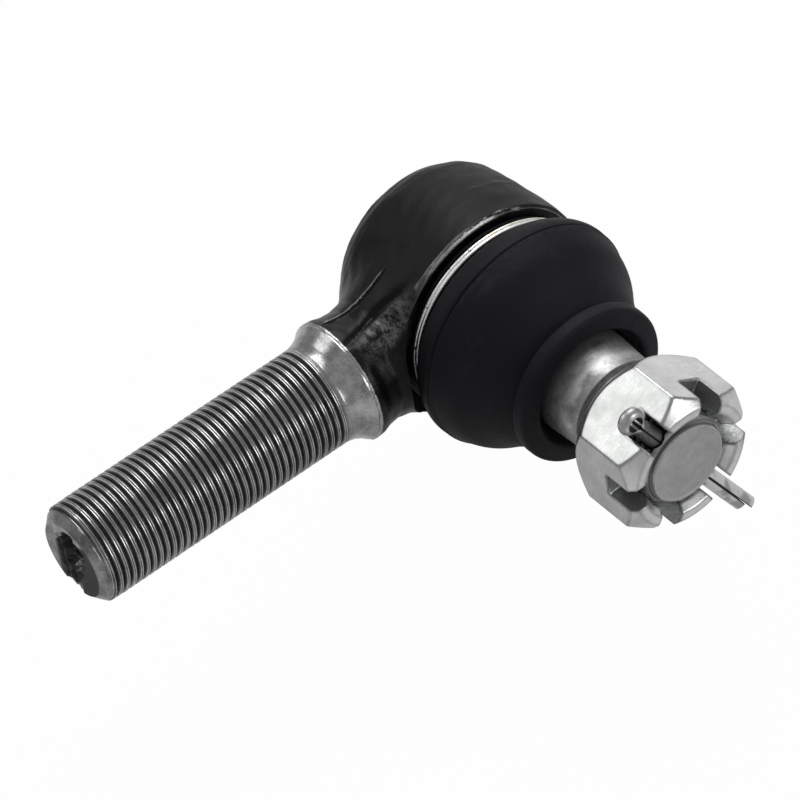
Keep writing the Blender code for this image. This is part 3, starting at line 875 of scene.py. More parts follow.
@dataclass(frozen=True)
class ForgingPaint:
    """Thin black paint over a forging, worn through at the rim, cloudy where it was handled, with painted light on the
    rim's land.
    """

    black: Colour = (0.0018, 0.0018, 0.0022)
    dusty: Colour = (0.022, 0.0222, 0.0228)
    bare: Colour = (0.42, 0.42, 0.425)

    def make(self) -> bpy.types.Material:
        """Builds the material.

        Returns:
            The material.
        """
        skin = Skin("forging_paint", 0.0)
        coarse = skin.wave(skin.place, 0.11, 4.0, 0.6)
        fine = skin.wave(skin.place, 0.9, 5.0, 0.62)
        grit = skin.wave(skin.place, 3.4, 3.0, 0.6)
        ragged = (fine - 0.5) * 1.6 + (grit - 0.5) * 0.8
        around, reach = skin.round_stud(), skin.reach()
        handled = around.band(46.0, 42.0) * reach.band(-5.0, 13.0) * skin.off_stud().step(18.0, 20.0)
        brushed = skin.wave(skin.stretched(skin.place, (1.0, 0.4, 1.0)), 0.8, 6.0, 0.75)
        scraped = brushed.step(0.5, 0.62) * handled.step(0.1, 0.6)
        cloud = ((coarse - 0.5) * 1.4 + handled * 0.75 + (fine - 0.5) * 0.9).step(0.15, 1.2).most(scraped * 0.9)

        edge = skin.off_stud().step(21.9, 21.7) * skin.off_stud().step(20.2, 20.4)
        streak = skin.wave(skin.joined(around * 0.06, reach * 1.1, skin.off_stud() * 1.1), 1.6, 4.0, 0.65)
        lip = (reach + (streak - 0.5) * 2.2 + (grit - 0.5) * 0.9).step(4.85, 5.15) * edge
        rubbed_side = (around.band(107.0, 32.0) * 1.5 + around.band(70.0, 40.0) * 0.45 + around.band(168.0, 40.0) * 0.4
                       + (streak - 0.5) * 1.6).step(0.3, 0.8)
        hairline = skin.off_stud().band(20.62, 0.12) * reach.step(5.0, 5.2) * (0.5 + (streak - 0.5) * 2.0).clamped()
        # Partly wear, partly painted light: the rim's front land, in the boot's shadow, is painted as lighter bare
        # metal.
        land = reach.step(4.45, 4.65) * edge * around.band(150.0, 75.0).step(0.0, 0.3)
        rim = (lip * rubbed_side).most(hairline * 0.7).most(land * (streak - 0.18).clamped() * 0.9)
        rubbed = (skin.stored("ridge") + ragged * 0.35).step(0.45, 0.9)
        chips = (fine * 0.6 + grit * 0.4).step(0.66, 0.70) * (handled * 0.8 + 0.2).clamped()
        flaked = (skin.run() + ragged * 0.35).step(31.0, 31.25)
        crumpled = skin.y.band(-5.0, 3.4).step(0.0, 0.5) * skin.run().band(23.0, 9.0) * skin.z.step(2.0, 6.0)
        crumpled = crumpled * (brushed * 0.75 + grit * 0.25).step(0.42, 0.58)
        # The wear here also carries the painted light on the rim's front land.
        worn = rim.most(rubbed * 0.85).most(chips * 0.45).most(flaked).most(crumpled * 0.3)

        paint = skin.blend(cloud, self.black, self.dusty)
        colour = skin.blend(worn, paint, self.bare)
        neck = skin.run().step(15.0, 19.0)
        rough = (0.42 + cloud * 0.16 + (fine - 0.5) * 0.2 - neck * 0.12).clamped()
        peel = skin.bump(skin.wave(skin.place, 2.2, 4.0, 0.65), 0.05)
        pits = skin.bump((fine * 0.7 + grit * 0.3).step(0.62, 0.7), -0.04, peel)
        dents = skin.bump(skin.wave(skin.place, 0.42, 2.0, 0.5), 0.10, pits)
        return skin.dress(
            Base_Color=colour, Roughness=rough, Metallic=worn * 0.95, Normal=dents, Specular_IOR_Level=0.17,
        )


@dataclass(frozen=True)
class TurnedSteel:
    """Steel turned or rolled about one axis: fine rings, a few nicks, painted shade in grooves and seams, painted
    crest highlights.
    """

    name: str
    axis: Axis
    hand: Hand
    bright: Colour
    dull: Colour
    start: float
    stop: float
    crest: float
    root: float
    seam: float
    polish: float
    pitch: float = 1.5
    metal: float = 1.0
    # The colour of nicks, paint and streaks, and of the painted shade in grooves and seams.
    dark_marks_and_shade: Colour = (0.009, 0.009, 0.0095)

    def soil_and_shade(self, skin: Skin, clouds: Wire, grain: Wire) -> Amount:
        """Where this piece is dark apart from its grooves: nowhere on a plain bar."""
        return 0.0

    def shade(self, skin: Skin, clouds: Wire, stain: Wire) -> Wire:
        """How far the steel goes from bright to dull."""
        return stain

    def turned_marks(self, skin: Skin) -> Amount:
        """Where the cutting tool left rings: everywhere on a plain bar."""
        return 1.0

    def groove_shade_depth(self, skin: Skin) -> Amount:
        """How strong the painted shade in the grooves is: full on a plain bar."""
        return 1.0

    def gloss(self, skin: Skin) -> Amount:
        """How much smoother than the rest the steel is: nowhere on a plain bar."""
        return 0.0

    def make(self) -> bpy.types.Material:
        """Builds the material.

        Returns:
            The material.
        """
        skin = Skin(self.name, 1.0)
        shank = self.axis is Axis.SHANK
        off = skin.off_shank() if shank else skin.off_stud()
        along = skin.run() if shank else skin.reach()
        around = skin.round_shank() if shank else skin.round_stud()
        rings = skin.wave(skin.joined(around * 0.004, along, off * 0.3), 5.5, 5.0, 0.75)
        clouds = skin.wave(skin.place, 0.28, 5.0, 0.6)
        grain = skin.wave(skin.place, 2.6, 4.0, 0.6)
        nick = skin.wave(skin.joined(around * 0.06, along * 0.9, off), 1.3, 3.0, 0.6)
        threaded = along.step(self.start + 0.3, self.start + 1.4) * along.step(self.stop + 0.1, self.stop - 0.1)
        row = (along - self.start) / self.pitch + 1.0 - around * (self.hand.value / 360)
        off_crest = abs((row + 0.5).fraction() - 0.5) * 2.0
        # Painted shade: the thread's grooves and the crests' seams are darkened below.
        groove = off_crest.step(self.crest + 0.02, self.root - 0.08)
        seam = off_crest.step(0.2, 0.06) * self.seam * (clouds + grain - 0.2).clamped()
        # Painted highlight: a band along each crest's edge is made brighter.
        line = off_crest.band(self.crest - 0.12, 0.16) * threaded
        stain = ((clouds - 0.5) * 2.4 + (grain - 0.5) * 1.2 + (rings - 0.5) * 0.9 + 0.42).clamped()
        shade = (self.shade(skin, clouds, stain) - line * 0.45).clamped()
        nicks = nick.step(0.69, 0.71) * threaded
        groove_shade = (groove * (0.9 + (grain - 0.5) * 0.6)).most(seam) * threaded * self.groove_shade_depth(skin)
        marks_and_shade = groove_shade.most(nicks * 0.9).most(self.soil_and_shade(skin, clouds, grain)).clamped()
        colour = skin.blend(marks_and_shade, skin.blend(shade, self.bright, self.dull), self.dark_marks_and_shade)
        rough = (self.polish + (rings - 0.5) * 0.22 + shade * 0.14 + marks_and_shade * 0.32 - self.gloss(skin)).clamped()
        normal = skin.bump(grain, 0.02, skin.bump(rings * self.turned_marks(skin), 0.016))
        return skin.dress(Base_Color=colour, Roughness=rough, Metallic=self.metal - marks_and_shade * 0.8, Normal=normal)


@dataclass(frozen=True)
class ShankSteel(TurnedSteel):
    """The shank's steel, with black paint left on the lower part of its end face, and its broken centre darkened."""

    end: float = 92.2

    def soil_and_shade(self, skin: Skin, clouds: Wire, grain: Wire) -> Wire:
        """Paint on the end face below a slanting edge, and darkening in its hole.

        Args:
            skin: the material's nodes.
            clouds: slow noise.
            grain: fine noise.

        Returns:
            How far each place is darkened.
        """
        side, up = -skin.y, skin.z
        ragged = (grain - 0.5) * 1.6 + (clouds - 0.5) * 1.4
        painted = (up - side * 0.42 + ragged * 0.6).step(4.7, 3.8) * side.step(-4.9, -3.9)
        face = skin.off_shank().step(7.85, 7.65) * skin.run().step(self.end - 0.6, self.end - 0.4)
        # The hole is darkened near-black, except a patch of bright flakes.
        hole = skin.run().step(self.end - 0.35, self.end - 0.7) * skin.off_shank().step(8.0, 7.4)
        hole = hole * skin.run().step(self.end - 9.0, self.end - 8.0)
        bright_spot = up.band(-2.4, 3.2).step(0.0, 0.4) * side.band(0.6, 2.6).step(0.0, 0.4)
        flakes = (grain * 0.7 + clouds * 0.3).step(0.40, 0.5) * bright_spot
        return (painted * face).most(hole * (0.94 - flakes * 0.94))

    def shade(self, skin: Skin, clouds: Wire, stain: Wire) -> Wire:
        """Greyer towards the end, brighter on the shoulder's cone.

        Args:
            skin: the material's nodes.
            clouds: slow noise; not used.
            stain: the shade that a plain bar has.

        Returns:
            0 where the steel is bright, 1 where it is dull.
        """
        end = skin.run().step(self.end - 3.0, self.end - 1.6)
        collar = skin.run().step(36.5, 35.5)
        return (stain * 0.8 + end * 0.35 - collar * 0.1 + 0.1).clamped()

    def gloss(self, skin: Skin) -> Wire:
        """The polish of the shoulder's cone."""
        return skin.run().step(36.5, 35.5) * 0.1


@dataclass(frozen=True)
class StudSteel(TurnedSteel):
    """The stud's steel: a ground cone with cloudy bands, a streaky undercut darkened partly as painted shade, and a
    dull sawn end.
    """

    metal: float = 0.84
    end: float = 60.3
    undercut: tuple[float, float] = (41.05, 45.2)

    def groove_shade_depth(self, skin: Skin) -> Wire:
        """The grooves' painted shade, weaker towards the end."""
        return skin.reach().step(self.end - 1.2, self.end - 2.4) * 0.55 + 0.45

    def turned_marks(self, skin: Skin) -> Wire:
        """None on the sawn end."""
        return skin.reach().step(self.end - 0.5, self.end - 1.0)

    def soil_and_shade(self, skin: Skin, clouds: Wire, grain: Wire) -> Wire:
        """The undercut's dark streaks, partly painted shade, and painted shade along the groove that runs out through
        the end's chamfer.

        Args:
            skin: the material's nodes.
            clouds: slow noise; not used.
            grain: fine noise; not used.

        Returns:
            The share of dark streaks and painted shade at each place.
        """
        along, around = skin.reach(), skin.round_stud()
        streaks = skin.wave(skin.joined(around * 0.02, along, 0.0), 1.1, 4.0, 0.7)
        low, high = self.undercut
        # Partly painted shade: the undercut is darkened except along lighter streaks.
        under = along.step(low - 0.05, low + 0.12) * along.step(high + 0.2, high)
        # Painted shade: a dark helical line where the thread's groove runs out through the chamfer.
        runs_out = (around / 360.0).fraction() * 0.8 + 7.95
        runout_groove_shade = abs(skin.off_stud() - runs_out).step(0.22, 0.1) * along.step(self.end - 1.2, self.end - 0.9)
        return (under * (0.7 - streaks.step(0.36, 0.52) * 0.7)).most(runout_groove_shade * 0.8)

    def shade(self, skin: Skin, clouds: Wire, stain: Wire) -> Wire:
        """Bands round the cone, and an even dull end face.

        Args:
            skin: the material's nodes.
            clouds: slow noise.
            stain: the shade that a plain bar has.

        Returns:
            0 where the steel is bright, 1 where it is dull.
        """
        along = skin.reach()
        band = ((along + (clouds - 0.5) * 9.0) * 0.22 + 0.1).fraction()
        cone = (stain * 0.45 + abs(band - 0.5) * 0.9).clamped()
        disc = along.step(self.end - 0.35, self.end - 0.2) * skin.off_stud().step(7.7, 7.45)
        return (cone * (1.0 - disc) + disc * (0.46 + (stain - 0.5) * 0.22)).clamped()


@dataclass(frozen=True)
class ZincPlate:
    """Bright zinc over machined steel: soft mottling, dark rough places in the slots, painted dark lines on the edges.
    """

    bright: Colour = (0.74, 0.75, 0.74)
    grey: Colour = (0.46, 0.475, 0.46)

    def make(self) -> bpy.types.Material:
        """Builds the material.

        Returns:
            The material.
        """
        skin = Skin("bright_zinc", 1.0)
        clouds = skin.wave(skin.place, 0.22, 4.0, 0.6)
        grain = skin.wave(skin.place, 3.0, 4.0, 0.65)
        scuffs = skin.wave(skin.stretched(skin.place, (0.5, 2.4, 0.5)), 1.0, 5.0, 0.7)
        mottle = ((clouds - 0.5) * 1.5 + (scuffs - 0.5) * 0.9 + 0.3).clamped()
        base = skin.blend(mottle, self.bright, self.grey)
        sawn = (skin.stored("sawn") * (0.7 + (grain - 0.5) * 1.4)).clamped()
        darker = skin.blend(sawn * 0.8, base, (0.10, 0.105, 0.11))
        # Painted shade: the edges are darkened into lines, which also dims their highlights.
        line = skin.stored("edge") * (0.75 + (scuffs - 0.5) * 1.2)
        colour = skin.blend(line.clamped() * 0.7, darker, (0.14, 0.145, 0.15))
        rough = (0.27 + mottle * 0.1 + (grain - 0.5) * 0.18 + sawn * 0.25).clamped()
        normal = skin.bump(grain, 0.02, skin.bump(scuffs, 0.014))
        return skin.dress(Base_Color=colour, Roughness=rough, Normal=normal)


@dataclass(frozen=True)
class DrawnWire:
    """Bright drawn wire, with patches where its plating turned yellow or dark."""

    name: str
    bright: Colour
    patch: Colour
    patch_share: float
    polish: float = 0.22

    def painted_shade(self, skin: Skin, grain: Wire) -> Amount:
        """Where painted shade darkens the wire: nowhere on a plain coil."""
        return 0.0

    def make(self) -> bpy.types.Material:
        """Builds the material.

        Returns:
            The material.
        """
        skin = Skin(self.name, 1.0)
        clouds = skin.wave(skin.place, 0.18, 3.0, 0.55)
        grain = skin.wave(skin.place, 3.2, 4.0, 0.6)
        tint = (clouds + (grain - 0.5) * 0.12).step(0.62 - self.patch_share * 0.3, 0.74 - self.patch_share * 0.3)
        # Real dark marks on the wire, together with its painted shade.
        flaws_and_shade = skin.wave(skin.place, 1.1, 2.0, 0.5).step(0.68, 0.72).most(self.painted_shade(skin, grain))
        colour = skin.blend(flaws_and_shade, skin.blend(tint, self.bright, self.patch), (0.012, 0.011, 0.010))
        rough = (self.polish + (grain - 0.5) * 0.2 + tint * 0.1 + flaws_and_shade * 0.3).clamped()
        metal = 1.0 - flaws_and_shade * 0.7
        return skin.dress(Base_Color=colour, Roughness=rough, Metallic=metal, Normal=skin.bump(grain, 0.015))


@dataclass(frozen=True)
class PinWire(DrawnWire):
    """The cotter pin's wire, with painted shade between its legs, in the eye and where it is sunk in the slot."""

    turn: float = 120.0
    eye: float = 16.9

    def painted_shade(self, skin: Skin, grain: Wire) -> Wire:
        """Painted shade, by the distance along the pin and off its middle plane.

        Args:
            skin: the material's nodes.
            grain: fine noise.

        Returns:
            The share of painted shade at each place.
        """
        cosine, sine = math.cos(math.radians(self.turn)), math.sin(math.radians(self.turn))
        along = skin.x * cosine + skin.z * sine
        aside = abs(skin.z * cosine - skin.x * sine)
        # Painted shade: between the legs, along the part sunk in the slot, and inside the eye.
        between = (aside + (grain - 0.5) * 0.12).step(0.34, 0.16) * along.step(15.4, 14.4)
        sunk = along.step(8.0, 9.0) * along.step(15.2, 14.0)
        past = along - self.eye
        eye_shade = (past * past + aside * aside).step(2.9, 2.3) * along.step(14.0, 14.5)
        return between.most(sunk * (0.8 + (grain - 0.5) * 0.6)).most(eye_shade)


@dataclass(frozen=True)
class BootRubber:
    """Moulded black rubber: bluish black, matt, faint dust, fine moulding grain and painted shade along the parting
    line.
    """

    black: Colour = (0.0062, 0.0060, 0.0088)
    dust: Colour = (0.024, 0.0245, 0.029)

    def make(self) -> bpy.types.Material:
        """Builds the material. It reads the place at rest, so that its pattern bends with the boot.

        Returns:
            The material.
        """
        skin = Skin("boot_rubber", 0.0, "rest_place")
        coarse = skin.wave(skin.place, 0.16, 4.0, 0.6)
        fine = skin.wave(skin.place, 1.5, 4.0, 0.6)
        grain = skin.wave(skin.place, 5.0, 3.0, 0.6)
        off, reach, around = skin.off_stud(), skin.reach(), skin.round_stud()
        rubbed = around.band(110.0, 16.0) * reach.band(17.6, 1.8)
        lip_edge = off.band(15.6, 0.7) * reach.band(31.4, 1.2)
        torn = (fine - 0.5) * 0.5
        # Painted shade: a near-black line along the mould's parting line, where its groove lies.
        seam = abs(reach - 15.3 + (coarse - 0.5) * 0.3).step(0.34, 0.16) * off.step(22.0, 22.2)
        upper_side = around.band(80.0, 70.0).step(0.0, 0.5)
        under_seam = reach.band(15.95 + torn, 0.7) * upper_side * (fine * 2.6 - 0.7).clamped()
        dusty = ((coarse - 0.6) * 1.6 + (fine - 0.5) * 0.5 + rubbed * 0.5 + lip_edge * 0.5 + under_seam).clamped()
        colour = skin.blend(seam * 0.9, skin.blend(dusty, self.black, self.dust), (0.0012, 0.0012, 0.0014))
        rough = (0.56 + dusty * 0.2 + (fine - 0.5) * 0.16).clamped()
        skin_marks = skin.bump(skin.wave(skin.place, 0.7, 3.0, 0.55), 0.09)
        normal = skin.bump(grain, 0.02, skin.bump(seam, -0.12, skin_marks))
        return skin.dress(Base_Color=colour, Roughness=rough, Normal=normal, Specular_IOR_Level=0.14)


@dataclass(frozen=True)
class MouldedPolymer:
    """Greased off-white bearing polymer with fine moulding grain."""

    pale: Colour = (0.62, 0.59, 0.50)
    greasy: Colour = (0.34, 0.29, 0.19)

    def make(self) -> bpy.types.Material:
        """Builds the material.

        Returns:
            The material.
        """
        skin = Skin("moulded_polymer", 0.0)
        smears = skin.wave(skin.stretched(skin.place, (0.5, 1.4, 0.5)), 0.4, 4.0, 0.6)
        grain = skin.wave(skin.place, 4.0, 3.0, 0.6)
        grease = (smears + (grain - 0.5) * 0.15).step(0.45, 0.65)
        colour = skin.blend(grease, self.pale, self.greasy)
        rough = (0.5 - grease * 0.25 + (grain - 0.5) * 0.1).clamped()
        return skin.dress(Base_Color=colour, Roughness=rough, Normal=skin.bump(grain, 0.02))


@dataclass(frozen=True)
class PressedSteel:
    """Phosphated sheet steel: dark grey, matt, with stamping rings and rubbed high places."""

    grey: Colour = (0.11, 0.112, 0.115)
    rubbed: Colour = (0.34, 0.34, 0.345)

    def make(self) -> bpy.types.Material:
        """Builds the material.

        Returns:
            The material.
        """
        skin = Skin("phosphated_steel", 0.85)
        clouds = skin.wave(skin.place, 0.3, 5.0, 0.6)
        grain = skin.wave(skin.place, 2.8, 4.0, 0.65)
        rings = skin.wave(skin.joined(skin.off_stud(), 0.0, 0.0), 2.6, 3.0, 0.6)
        high = (skin.reach() + (clouds - 0.5) * 1.2).step(-19.9, -20.6) * 0.6
        wear = (high + (clouds - 0.55) * 1.4 + (rings - 0.5) * 0.5).clamped()
        colour = skin.blend(wear, self.grey, self.rubbed)
        rough = (0.52 - wear * 0.14 + (grain - 0.5) * 0.2).clamped()
        normal = skin.bump(grain, 0.03, skin.bump(rings, 0.05))
        return skin.dress(Base_Color=colour, Roughness=rough, Normal=normal)


# ---------------------------------------------------------------- housing


@dataclass
class Housing:
    """The forging with its threaded shank, and the plate that closes its back."""

    ridge_plane: float = 3.2            # where the forging dies met, towards the back of the drum
    drum_outline: tuple[tuple[float, float], ...] = (
        (16.6, -17.4), (17.2, -17.15), (18.0, -16.0), (19.1, -14.6), (19.8, -12.9), (20.35, -9.5), (20.85, -5.5),
        (21.15, -1.0), (21.2, 4.2), (21.2, 9.6),
    )
    neck_outline: tuple[tuple[float, float], ...] = (
        (16.2, 7.5), (15.6, 11.66), (14.75, 16.6), (13.2, 20.0), (11.8, 22.8), (11.3, 25.7), (11.65, 28.3),
        (12.15, 29.9), (12.25, 31.2), (12.25, 33.0),
    )
    shoulder_run: float = 31.5
    rim_r: float = 20.6
    rim_reach: float = 5.35
    boss_r: float = 16.6
    boss_reach: float = 9.6
    thread_r: float = 9.925
    thread_start: float = 36.1
    thread_end: float = 92.2
    end_chamfer: float = 2.2
    pitch: float = 1.5
    columns: int = 112
    rows_per_turn: int = 16

    def solid(self, points: np.ndarray) -> np.ndarray:
        """Signed distance to the rough forging, before any machining.

        Args:
            points: places in millimetres.

        Returns:
            The distance at each, negative inside.
        """
        x, y, z = points.T
        reach, run = -y, -x
        off_stud, off_shank = np.hypot(x, z), np.hypot(y, z)
        drum_r, drum_at = zip(*self.drum_outline)
        drum = soft_max(off_stud - np.interp(reach, drum_at, drum_r), np.maximum(-17.4 - reach, reach - 9.8), 0.5)
        neck_r, neck_at = zip(*self.neck_outline)
        neck = off_shank - np.interp(run, neck_at, neck_r)
        lumps = self.lumps(points)
        crown = np.clip(z / np.maximum(off_shank, 1.0) * 2.2, -1, 1)
        upper = np.maximum(crown, 0.0)
        on_neck = np.clip((run - 13.0) / 4.0, 0, 1) * np.clip((31.4 - run) / 1.5, 0, 1)
        flash = np.exp(-((y - self.ridge_plane) / 0.36) ** 2) * np.abs(crown)
        crease = np.exp(-((y + 2.5 - 1.1 * np.sin(run * 0.35)) / 0.7) ** 2) * upper
        rough_side = np.exp(-((y + 5.6) / 2.6) ** 2) * upper
        neck = neck - on_neck * (0.6 * flash - 0.6 * crease + 0.4 * rough_side * lumps)
        neck = np.maximum(neck, np.maximum(run - self.shoulder_run, 7.5 - run))
        drum = drum - 0.13 * np.exp(-((reach + self.ridge_plane) / 0.4) ** 2) * np.clip(0.5 + 3 * lumps, 0, 1)
        return soft_min(drum, neck, 3.2) - 0.16 * lumps

    @staticmethod
    def lumps(points: np.ndarray) -> np.ndarray:
        """Slow unevenness of a forged surface.

        Args:
            points: places in millimetres.

        Returns:
            A height at each, between about -1 and 1.
        """
        rng = np.random.default_rng(11)
        total = np.zeros(len(points))
        for length in (17.0, 11.0, 7.5, 5.2, 4.0, 3.1):
            for _ in range(3):
                direction = rng.normal(size=3)
                direction *= 2 * math.pi / length / np.linalg.norm(direction)
                total += np.sin(points @ direction + rng.uniform(0, 6.28)) * (length / 17.0) ** 0.8
        return total / 3.6

    def forging(self, finish: bpy.types.Material) -> bpy.types.Object:
        """The drum and neck, meshed from the rough solid and then machined.

        Args:
            finish: its material.

        Returns:
            The piece.
        """
        body = surface_net("forging", self.solid, (-32.6, -17.6, -22.4), (22.4, 18.6, 22.4), 0.42)
        clearance = rounded([
            (0.0, self.boss_reach, 0), (self.boss_r - 0.5, self.boss_reach, 0),
            (self.boss_r, self.boss_reach - 0.5, 0),
            (self.boss_r, self.rim_reach, 0), (self.rim_r, self.rim_reach, 0.15), (21.45, 4.55, 0.12),
            (22.3, 6.4, 0), (23.75, 10.3, 0), (23.75, 19.0, 0), (0.0, 19.0, 0),
        ])
        socket = [
            (0.0, -18.3), (15.0, -18.3), (15.0, -16.7), (16.2, -16.7), (16.2, -14.4), (15.3, -14.4), (15.3, 7.4),
            (12.5, 7.4), (12.7, 10.6), (0.0, 10.6),
        ]
        local = Matrix(((1, 0, 0, 0), (0, 0, -1, 0), (0, 1, 0, 0), (0, 0, 0, 1)))
        for outline in (clearance, socket):
            body = cut(body, turned("cutter", outline, local))
        made = settle(body, TO_FRAME, 38)
        self.mark_ridges(made)
        return add_piece(made, "housing", "painted_forging", finish, "housing")

    def mark_ridges(self, mesh: bpy.types.Mesh) -> None:
        """Stores how far each point stands out of the surface round it, for the paint's wear.

        Args:
            mesh: the finished forging.
        """
        points = places_of(mesh)
        proud = stands_out(self.solid, points, 0.45)
        store(mesh, "ridge", np.clip((proud - 0.035) / 0.09, 0, 1) * np.clip((points[:, 0] + 45) / 10, 0, 1))

    def shank(self, threads: Recipe, finish: bpy.types.Material) -> bpy.types.Object:
        """The machined shoulder and the left-hand threaded shank with its centred end.

        Args:
            threads: the thread's recipe.
            finish: its material.

        Returns:
            The piece.
        """
        last_r = self.thread_r - self.end_chamfer
        bar = rounded([
            (0.0, 29.0, 0), (10.6, 29.0, 0), (11.9, 30.9, 0), (11.95, 31.2, 0), (11.95, 31.85, 0.12),
            (11.1, 32.9, 0.5), (10.35, 34.4, 1.2), (9.925, self.thread_start, 0),
        ])
        gap = len(bar) - 2
        bar += rounded([
            (radius, self.thread_end, 0) for radius in (last_r, *np.arange(7.5, 1.5, -0.2).tolist())
        ])
        bar += [
            (1.4, self.thread_end), (1.35, self.thread_end - 0.6), (1.3, self.thread_end - 3.0),
            (0.0, self.thread_end - 3.6),
        ]
        mesh = turned("shank", bar, Matrix.Identity(4), self.columns, gap=gap)
        made = threads.run(
            mesh, finish, Radius=self.thread_r, First_Radius=self.thread_r, Last_Radius=last_r, Lead=0.4,
            Chamfer=self.end_chamfer, Depth=0.85, Pitch=self.pitch, Start=self.thread_start, End=self.thread_end,
            Runout=2.2, Hand=Hand.LEFT.value, Crest=0.38, Root=0.80, Seam=0.12, Wobble=0.12, Columns=self.columns,
            Rows=thread_rows(self.thread_end - self.thread_start, self.pitch, self.rows_per_turn),
            Rows_Per_Turn=self.rows_per_turn,
        )
        self.batter_end(made)
        return add_piece(settle(made, Axis.SHANK.place(), 42), "housing", "stud_steel", finish)

    def batter_end(self, mesh: bpy.types.Mesh) -> None:
        """Breaks a ragged hollow into the end face, open to its lower rim, and bruises that rim.

        Args:
            mesh: the threaded shank, about local Z in millimetres.
        """
        top, foot = np.array((0.2, 3.0)), np.array((-0.9, -7.6))
        slant = foot - top
        for point in mesh.vertices:
            x, y, z = point.co
            radius = math.hypot(x, y)
            if z < self.thread_end - 4.5 or (z < self.thread_end - 0.01 and 1.45 < radius < 7.0):
                continue
            small = noise.noise(Vector((x * 0.6, y * 0.6, 7.0)))
            fine = noise.noise(Vector((x * 1.2, y * 1.2, 3.0)))
            share = float(np.clip((np.array((x, y)) - top) @ slant / (slant @ slant), 0, 1))
            away = math.hypot(x - top[0] - share * slant[0], y - top[1] - share * slant[1])
            width = 3.9 - 1.9 * share + 1.1 * small + 0.6 * fine
            inside = min(1.0, max(0.0, (width - away) / 1.5))
            depth = inside * (2.6 - 1.5 * share + 1.3 * fine + 0.7 * small) * min(1.0, (9.0 - radius) / 1.5)
            point.co.z = z - max(0.0, depth)
            bruise = math.exp(-((math.degrees(math.atan2(y, x)) + 100) / 12) ** 2)
            bruise *= math.exp((z - self.thread_end) / 1.2)
            scale = 1 + (0.35 * bruise + 0.04 * small) * max(0.0, radius - 7.0) / max(radius, 1.0)
            point.co.x, point.co.y = x * scale, y * scale

    def cover(self, finish: bpy.types.Material) -> bpy.types.Object:
        """The domed plate behind the spring, held by the drum's rolled lip.

        Args:
            finish: its material.

        Returns:
            The piece.
        """
        outline = rounded([
            (0.0, -18.8, 0), (9.1, -18.8, 0.6), (9.9, -18.2, 0.6), (11.2, -15.1, 0.6), (12.0, -14.7, 0.4),
            (15.9, -14.7, 0.15), (15.9, -16.4, 0.3), (13.4, -16.4, 0.9), (12.5, -17.0, 0.9), (10.4, -20.0, 0.8),
            (9.3, -20.5, 0.8), (6.3, -20.5, 0.4), (5.9, -20.3, 0.3), (3.0, -20.3, 0.3), (2.6, -20.5, 0.3),
            (0.0, -20.5, 0),
        ])
        mesh = settle(turned("cover", outline, Matrix.Identity(4)), Axis.STUD.place(), 35)
        return add_piece(mesh, "housing", "cover_steel", finish, "closure_cover")


# ---------------------------------------------------------------- boot


